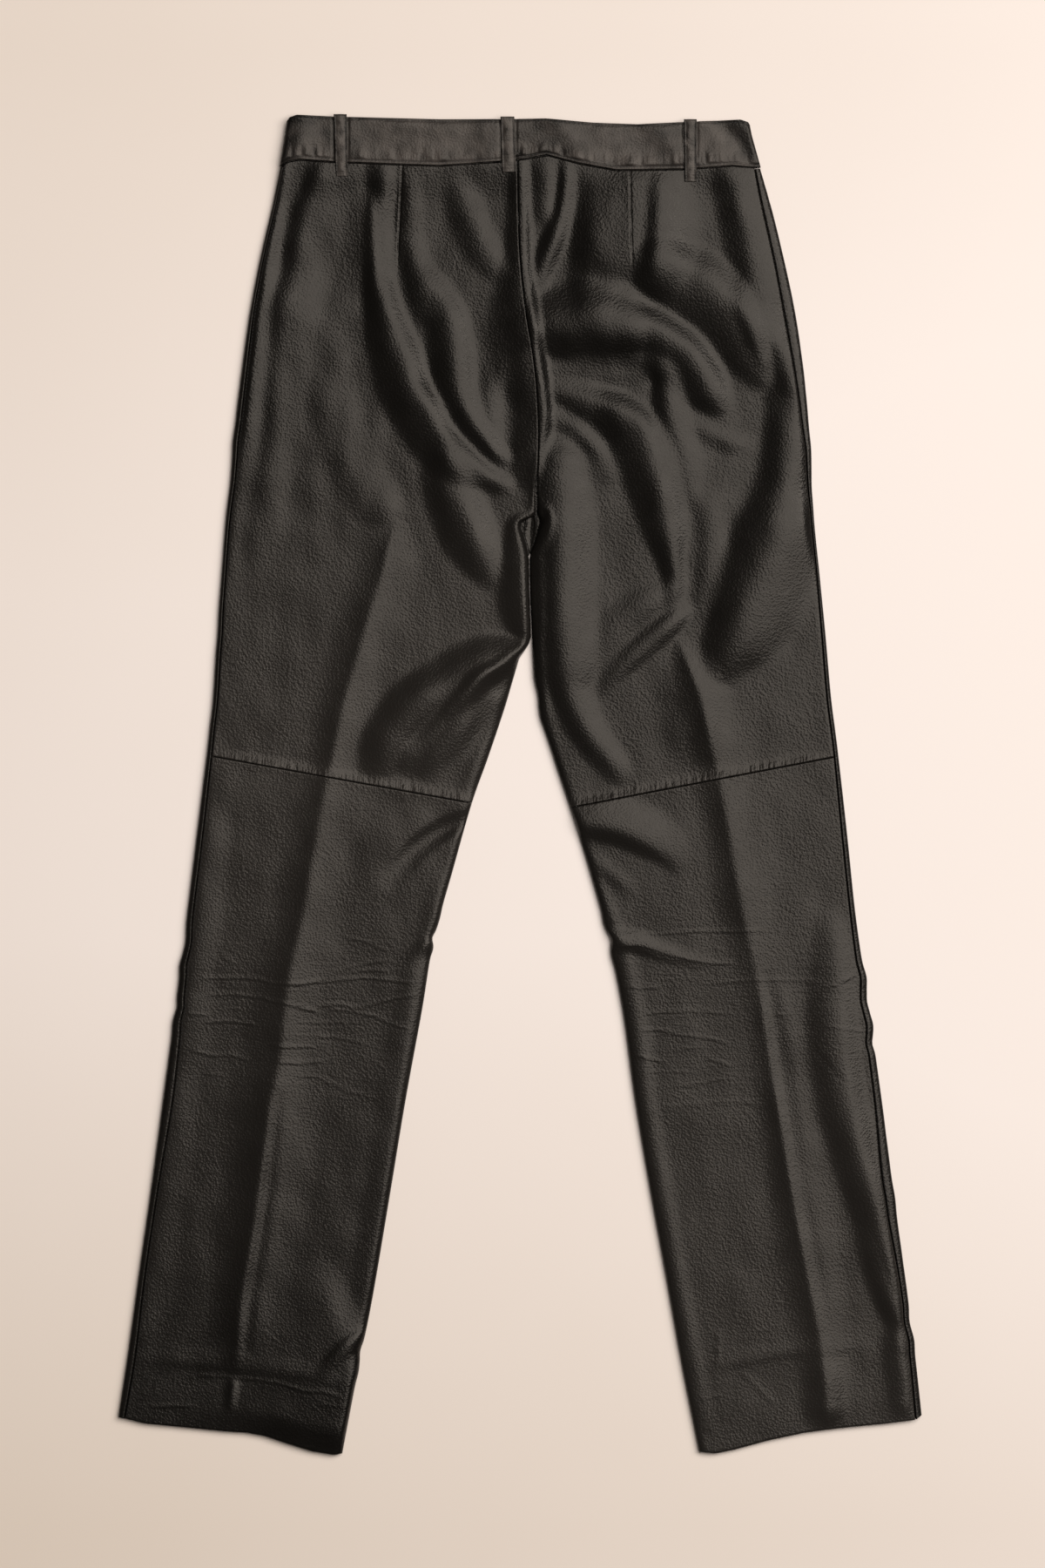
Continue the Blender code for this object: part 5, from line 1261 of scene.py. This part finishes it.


def loop_strip(name, node, rows, wall, under, seed):
    """A loop from its rows of (left x, right x, y, z of its outer face)."""
    rows = np.array(rows, dtype=float)
    gone = lengths_along(rows[:, 2:])
    marks = np.concatenate([LOOP_END_PLACES, np.arange(1.2, gone[-1] - 0.9, LOOP_STEP),
                            gone[-1] - LOOP_END_PLACES[::-1]])
    left, right, y, z = (np.interp(marks, gone, column)[:, None] for column in rows.T)
    share = np.array(LOOP_COLUMNS)[None, :]
    x = left + (right - left) * share
    y, z = y + 0 * x, z + 0 * x
    from_edge = np.minimum(x - left, right - x)
    from_foot = gone[-1] - marks[:, None] + 0 * x
    swell = (groove(from_edge - LOOP_STITCH) * 0.8 + LOOP_MIDDLE_RISE * rising(from_edge, start=2, reach=2)
             - rounded_edge(from_edge, LOOP_ROLL) * 0.8 - rounded_edge(from_foot, LOOP_ROLL) * 0.7
             + 1.2 * groove(from_foot - LOOP_TACK) + wander(x * 1.6, y, size=6.5, height=0.45, seed=seed))
    z = z + swell * (-1 if under else 1)
    # Rubbed dye, with painted shade along the loop's edges where its middle is painted paler.
    wear_and_shade = (LOOP_WORN + LOOP_PAINTED_EDGE_SHADE * rising(from_edge, start=0.5, reach=1.4)
            + wander(x * 1.4, y, size=5.0, height=0.9, seed=seed + 2))
    at_tack = hill(from_foot - LOOP_TACK, reach=0.9)
    wear_and_shade = wear_and_shade + LOOP_TACK_PALER * at_tack * rising(from_edge, start=0, reach=2)
    masks = {"pucker": 0 * x, "crepe": LOOP_CREPE + 0 * x, "wear_and_painted_light": np.clip(wear_and_shade, 0, 1)}
    piece = lay_cloth(name, np.stack([x, y, z], axis=-1), wall, BAND_NAPPA, not under, masks)
    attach(piece, "root")
    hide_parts(node)
    return piece


BACK_LOOP_PIECES = []
LOOP_LINES = []
for number, (place, (top, foot)) in enumerate(BACK_LOOPS.items()):
    middle = (top[0] + top[1]) / 2
    edge = float(top_y(middle, False))
    seam = float(seam_y(middle, False))
    face = BAND_TOP + SEAM_GAP + LOOP_WALL
    half, _, lift = lie((seam - foot[2]) / STATION_AT_WAIST)
    foot_face = lift + 2 * half + SEAM_GAP + LOOP_WALL
    turned_over = [(edge + above, face + off) for above, off in LOOP_FOLD]
    rows = []
    for y, z in (*turned_over, (seam, face), (foot[2], foot_face)):
        share = (edge - y) / (edge - foot[2])
        rows.append((top[0] + (foot[0] - top[0]) * share, top[1] + (foot[1] - top[1]) * share, y, z))
    BACK_LOOP_PIECES.append(loop_strip(
        f"back_loop_{place}", f"belt_loop_back_{place}", rows, LOOP_WALL, under=False, seed=1.3 + number))
    for hand in (0, 1):
        inward = LOOP_STITCH * (1 - 2 * hand)
        LOOP_LINES.append([(row[hand] + inward, row[2]) for row in (rows[FOLD_END], rows[-1])])
    tack_y = foot[2] + LOOP_TACK
    LOOP_LINES.append([(rows[-1][0] + TACK_SHORT, tack_y), (rows[-1][1] - TACK_SHORT, tack_y)])

for side, centre in (("left", -FRONT_LOOP_X), ("right", FRONT_LOOP_X)):
    seam = float(seam_y(centre, True))
    face = BAND_UNDERSIDE - SEAM_GAP
    foot_face = lie(FRONT_LOOP_FOOT / STATION_AT_WAIST)[2] - SEAM_GAP
    rows = [(centre - FRONT_LOOP_WIDTH / 2, centre + FRONT_LOOP_WIDTH / 2, y, z) for y, z in (
        (float(top_y(centre, True)), face), (seam, face),
        (seam - FRONT_LOOP_FOOT, min(face, foot_face)))]
    loop_strip(f"front_loop_{side}", f"belt_loop_front_{side}", rows, FRONT_LOOP_WALL, under=True, seed=6.1)


# --- Front closing -------------------------------------------------------------------------
# A tongue of the waistband behind the opening takes the button, and a closed zip runs below it.
# The zip is a woven tape with moulded teeth and a metal slider. All of it is at the front.
UNDERLAP_X = (-18.0, 24.0)
UNDERLAP_MARGIN = 3.0    # how far short of the waistband's edges it stops
UNDERLAP_WALL = 1.2
ZIP_TAPE_WIDTH = 26.0
ZIP_TAPE_WALL = 0.9
ZIP_STATIONS = (0.18, 0.5, 1.0, 1.6, 2.2, 2.8, 3.4)
STRIP_STEP = 2
TOOTH = (3.2, 0.75, 0.5)         # across the tape, along it and up
TOOTH_PITCH = 1.5
TOOTH_RISE = 0.28        # the middle of a tooth above the tape
TEETH_FROM_FOOT = 2      # where they start above the tape's foot
TEETH_FROM_TOP = 26      # and how far below its top they end, at the slider


def woven(name, dye, roughness):
    """A material for tape and thread, ribbed across."""
    material, tree, shader, coords = new_material(name)
    shader.inputs["Base Color"].default_value = (*dye, 1)
    shader.inputs["Roughness"].default_value = roughness
    ribs = stretched_noise(tree, coords, scale=(300, 1800, 300), detail=2)
    tree.links.new(raised(tree, ribs, distance=0.0002, strength=0.7), shader.inputs["Normal"])
    return material


def flat_strip(name, node, rows, wall, material, columns):
    """A small laid strip from its rows of (left x, right x, y, z of its upper face)."""
    rows = np.array(rows, dtype=float)
    gone = lengths_along(rows[:, 2:])
    marks = np.linspace(0, gone[-1], max(int(gone[-1] / STRIP_STEP), 6))
    left, right, y, z = (np.interp(marks, gone, column)[:, None] for column in rows.T)
    x = left + (right - left) * np.linspace(0, 1, columns)[None, :]
    piece = lay_cloth(name, np.stack([x, y + 0 * x, z + 0 * x], axis=-1), wall, material, True,
                      {"pucker": 0 * x, "crepe": 0 * x, "wear_and_painted_light": 0 * x})
    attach(piece, "root")
    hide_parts(node)


ZIP_TAPE = woven("woven_zip_tape", dye=(0.008, 0.008, 0.008), roughness=0.85)

z = BAND_UNDERSIDE + BAND_WALL + SEAM_GAP + UNDERLAP_WALL
rows = [(*UNDERLAP_X, float(y), z) for y in (
    top_y(BAND_FRONT_X, True) - UNDERLAP_MARGIN, seam_y(BAND_FRONT_X, True) + UNDERLAP_MARGIN)]
flat_strip("button_tongue", "waistband_underlap", rows, UNDERLAP_WALL, BAND_NAPPA,
           columns=14)

rows = []
for station in ZIP_STATIONS:
    section = section_at(LEFT_LEG, station, True)
    y = section.inner_y + float(end_shift(LEFT_LEG, 1.0, station, True))
    z = lie(station)[2] + WALL + SEAM_GAP + ZIP_TAPE_WALL
    rows.append((section.inner_x - ZIP_TAPE_WIDTH / 2, section.inner_x + ZIP_TAPE_WIDTH / 2, y, z))
flat_strip("zip_tape", "fly_zip", rows, ZIP_TAPE_WALL, ZIP_TAPE,
           columns=9)

ZIP_METAL, tree, shader, coords = new_material("dark_zip_metal")
shader.inputs["Base Color"].default_value = (0.10, 0.095, 0.09, 1)
shader.inputs["Metallic"].default_value = 1.0
scuffs = stretched_noise(tree, coords, scale=(900, 250, 900), detail=4)
tree.links.new(to_range(tree, scuffs, 0.3, 0.7, 0.28, 0.5), shader.inputs["Roughness"])
for node in ("zip_slider", "waist_button"):
    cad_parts[node].material_slots[0].material = ZIP_METAL

teeth = bmesh.new()
ends = np.array([((row[0] + row[1]) / 2, row[2], row[3]) for row in rows])
for y in np.arange(ends[-1, 1] + TEETH_FROM_FOOT, ends[0, 1] - TEETH_FROM_TOP, TOOTH_PITCH):
    x, z = (np.interp(y, ends[::-1, 1], ends[::-1, axis]) for axis in (0, 2))
    place = Matrix.LocRotScale(Vector((x, y, z + TOOTH_RISE)) * MM, None, Vector(TOOTH) * MM)
    bmesh.ops.create_cube(teeth, size=1, matrix=place)
zip_teeth = add_object("zip_teeth", teeth, ZIP_METAL)
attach(zip_teeth, "root")


# --- Sewing --------------------------------------------------------------------------------
# Black thread in even stitches: in two rows on each face of the waistband, down both edges and
# across the foot of each back loop, in the side seams, and in two curved rows beside the fly.
THREAD = woven("black_thread", dye=(0.006, 0.006, 0.006), roughness=0.6)
STITCH_PITCH = 2.6
STITCH_SIZE = (0.98, 0.24, 0.17)      # half its length, width and height
LOOP_STITCH_PITCH = 2.0
LOOP_STITCH_SIZE = (0.72, 0.22, 0.16)
SIDE_STITCH_SIZE = (0.85, 0.20, 0.14)
STITCH_SINK = 0.04       # how far its middle lies in the hide
STITCH_HOLD = 0.35       # where it goes in and comes out, from its middle, as a share of the pitch
STITCH_STEP = 1.0        # no stitch is laid over a higher step than this
RAY_START = 0.1          # metres above or below the trousers


def sew(name, lines, pieces, below=False, pitch=STITCH_PITCH, size=STITCH_SIZE):
    """Stitches along lines of (x, y) points, laid on whichever piece is there, as one piece."""
    seen = bpy.context.evaluated_depsgraph_get()
    surfaces = [BVHTree.FromObject(piece, seen) for piece in pieces]
    ray = Vector((0, 0, 1 if below else -1))

    def surface_at(x, y):
        found = [surface.ray_cast(Vector((x * MM, y * MM, 0)) - ray * RAY_START, ray)[0]
                 for surface in surfaces]
        found = [place.z / MM for place in found if place]
        if not found:
            return None
        return min(found) if below else max(found)

    stitches = bmesh.new()
    for line in lines:
        line = np.array(line, dtype=float)
        gone = lengths_along(line)
        for mark in np.arange(pitch / 2, gone[-1], pitch):
            ends = []
            for step in (-STITCH_HOLD * pitch, STITCH_HOLD * pitch):
                x, y = (float(np.interp(mark + step, gone, line[:, axis])) for axis in (0, 1))
                ends.append((x, y, surface_at(x, y)))
            if None in (ends[0][2], ends[1][2]) or abs(ends[0][2] - ends[1][2]) > STITCH_STEP:
                continue
            start, end = (Vector(place) for place in ends)
            run = (end - start).normalized()
            across = Vector((0, 0, 1)).cross(run).normalized()
            turn = Matrix((run, across, run.cross(across))).transposed()
            middle = (start + end) / 2 + ray * STITCH_SINK
            place = Matrix.LocRotScale(middle * MM, turn.to_quaternion(), Vector(size) * MM)
            bmesh.ops.create_uvsphere(stitches, u_segments=6, v_segments=4, radius=1, matrix=place)
    made = add_object(name, stitches, THREAD)
    made.data.shade_smooth()
    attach(made, "root")


BAND_SEWING_X = (-176, 172)


def band_line(under, up):
    """A row of stitches along one face of the waistband, up from its lower edge."""
    share = up / BAND_DEPTH
    xs = np.linspace(*BAND_SEWING_X, 120)
    low = seam_y(xs, under) + WAIST_GAP / 2
    return list(zip(xs, low + (top_y(xs, under) - low) * share))


SIDE_SEWING_SHORT = 0.05         # in stations, what it is short of the waist and the hem
SIDE_SEWING_OFF = {"left": 1.1, "right": -1.65}      # in from the seam or, below 0, out


def side_line(leg, off):
    """Down a leg beside its side seam, some way in from it or, below 0, out."""
    line = []
    for station in np.linspace(WAIST + SIDE_SEWING_SHORT, HEM - SIDE_SEWING_SHORT, 160):
        section = section_at(leg, station)
        width = math.hypot(section.inner_x - section.side_x, section.inner_y - section.side_y)
        part = (section.inset + off) / width
        x = section.side_x + (section.inner_x - section.side_x) * part
        y = section.side_y + (section.inner_y - section.side_y) * part
        y += float(end_shift(leg, part, station, False))
        line.append((bent(x, y), y))
    return line


for face, under in (("back", False), ("front", True)):
    sew(f"waistband_sewing_{face}",
        [band_line(under, BAND_STITCH), band_line(under, BAND_DEPTH - BAND_STITCH)],
        list(BANDS.values()), below=under)
sew("loop_sewing", LOOP_LINES, BACK_LOOP_PIECES, pitch=LOOP_STITCH_PITCH, size=LOOP_STITCH_SIZE)
for side, leg in (("left", LEFT_LEG), ("right", RIGHT_LEG)):
    sew(f"side_seam_sewing_{side}", [side_line(leg, SIDE_SEWING_OFF[side])],
        [FRONTS[side], BACKS[side, "upper"], BACKS[side, "lower"]], size=SIDE_STITCH_SIZE)
# Two rows down beside the fly and round to its foot. The inner one is to the right and above.
FLY_SEWING = ((-27, 470), (-27, 430), (-26.5, 392), (-24, 374), (-18, 361), (-9, 353), (0, 349))
INNER_ROW = [(x + 5, y + 4) for x, y in FLY_SEWING[:-1]]
sew("fly_sewing", [FLY_SEWING, INNER_ROW], [FRONTS["left"]], below=True)


# --- Studio --------------------------------------------------------------------------------
# A pale cream floor, seen from straight above. One large soft light stands high on the right, and
# a small weak one lower down on the same side.
FLOOR_REACH = 12.0       # metres from here on
FLOOR_Z = -0.0003
CAMERA_HEIGHT = 5.0
FRAME_LENGTH = 1.224     # what the camera sees of the floor, top to bottom
FRAME_CENTRE = (0.0020, 0.0007)

floor_paper, tree, shader, coords = new_material("cream_paper")
mottle = stretched_noise(tree, coords, scale=(2.2, 2.2, 2.2), detail=3)
places = add_node(tree, "ShaderNodeSeparateXYZ", {"Vector": coords}).outputs
# Painted shade: the paper is painted darker to the left, to the foot and to the head, where the light falls
# off, and it has faint blotches of its own.
painted_floor_shade = multiply(tree, places["X"], -0.55)
for share in (
        to_range(tree, places["Y"], -0.12, -0.58, 0.0, 0.70),
        to_range(tree, places["Y"], 0.15, 0.57, 0.0, 0.42),
        to_range(tree, mottle, 0.3, 0.7, -0.05, 0.05)):
    painted_floor_shade = add_node(tree, "ShaderNodeMath", {0: painted_floor_shade, 1: share}, operation="ADD").outputs[0]
paper = blend_colours(tree, painted_floor_shade, first=(0.826, 0.742, 0.690), second=(0.655, 0.556, 0.464))
tree.links.new(paper, shader.inputs["Base Color"])
shader.inputs["Roughness"].default_value = 0.9
shader.inputs["Specular IOR Level"].default_value = 0.15

shape = bmesh.new()
bmesh.ops.create_grid(shape, x_segments=1, y_segments=1, size=FLOOR_REACH)
bmesh.ops.translate(shape, verts=shape.verts, vec=(0, 0, FLOOR_Z))
floor = add_object("floor", shape, floor_paper)


def soft_light(name, place, aim, size, power, colour):
    """A square lamp that only lights and isn't seen by the camera."""
    lamp = bpy.data.lights.new(name, "AREA")
    lamp.shape, lamp.size, lamp.energy, lamp.color = "SQUARE", size, power, colour
    made = bpy.data.objects.new(name, lamp)
    made.location = place
    made.rotation_euler = (Vector(aim) - Vector(place)).to_track_quat("-Z", "Y").to_euler()
    made.visible_camera = False
    bpy.context.scene.collection.objects.link(made)


LAMP_COLOUR = (1.0, 0.968, 0.940)
soft_light("key_light", (2.15, 1.45, 5.6), aim=(0.05, -0.1, 0), size=5.2, power=490, colour=LAMP_COLOUR)
soft_light("side_light", (3.4, 1.2, 3.0), aim=(0, 0, 0), size=1.5, power=40, colour=LAMP_COLOUR)

world = bpy.data.worlds.new("studio")
world.use_nodes = True
world.node_tree.nodes["Background"].inputs["Color"].default_value = (1.0, 0.96, 0.92, 1)
world.node_tree.nodes["Background"].inputs["Strength"].default_value = 0.05
bpy.context.scene.world = world
bpy.context.scene.view_settings.view_transform = "Standard"

camera = bpy.data.objects.new("camera", bpy.data.cameras.new("camera"))
camera.data.lens = camera.data.sensor_width * CAMERA_HEIGHT / FRAME_LENGTH
camera.location = (*FRAME_CENTRE, CAMERA_HEIGHT)
camera.data.clip_start, camera.data.clip_end = 0.1, 20
bpy.context.scene.collection.objects.link(camera)
bpy.context.scene.camera = camera
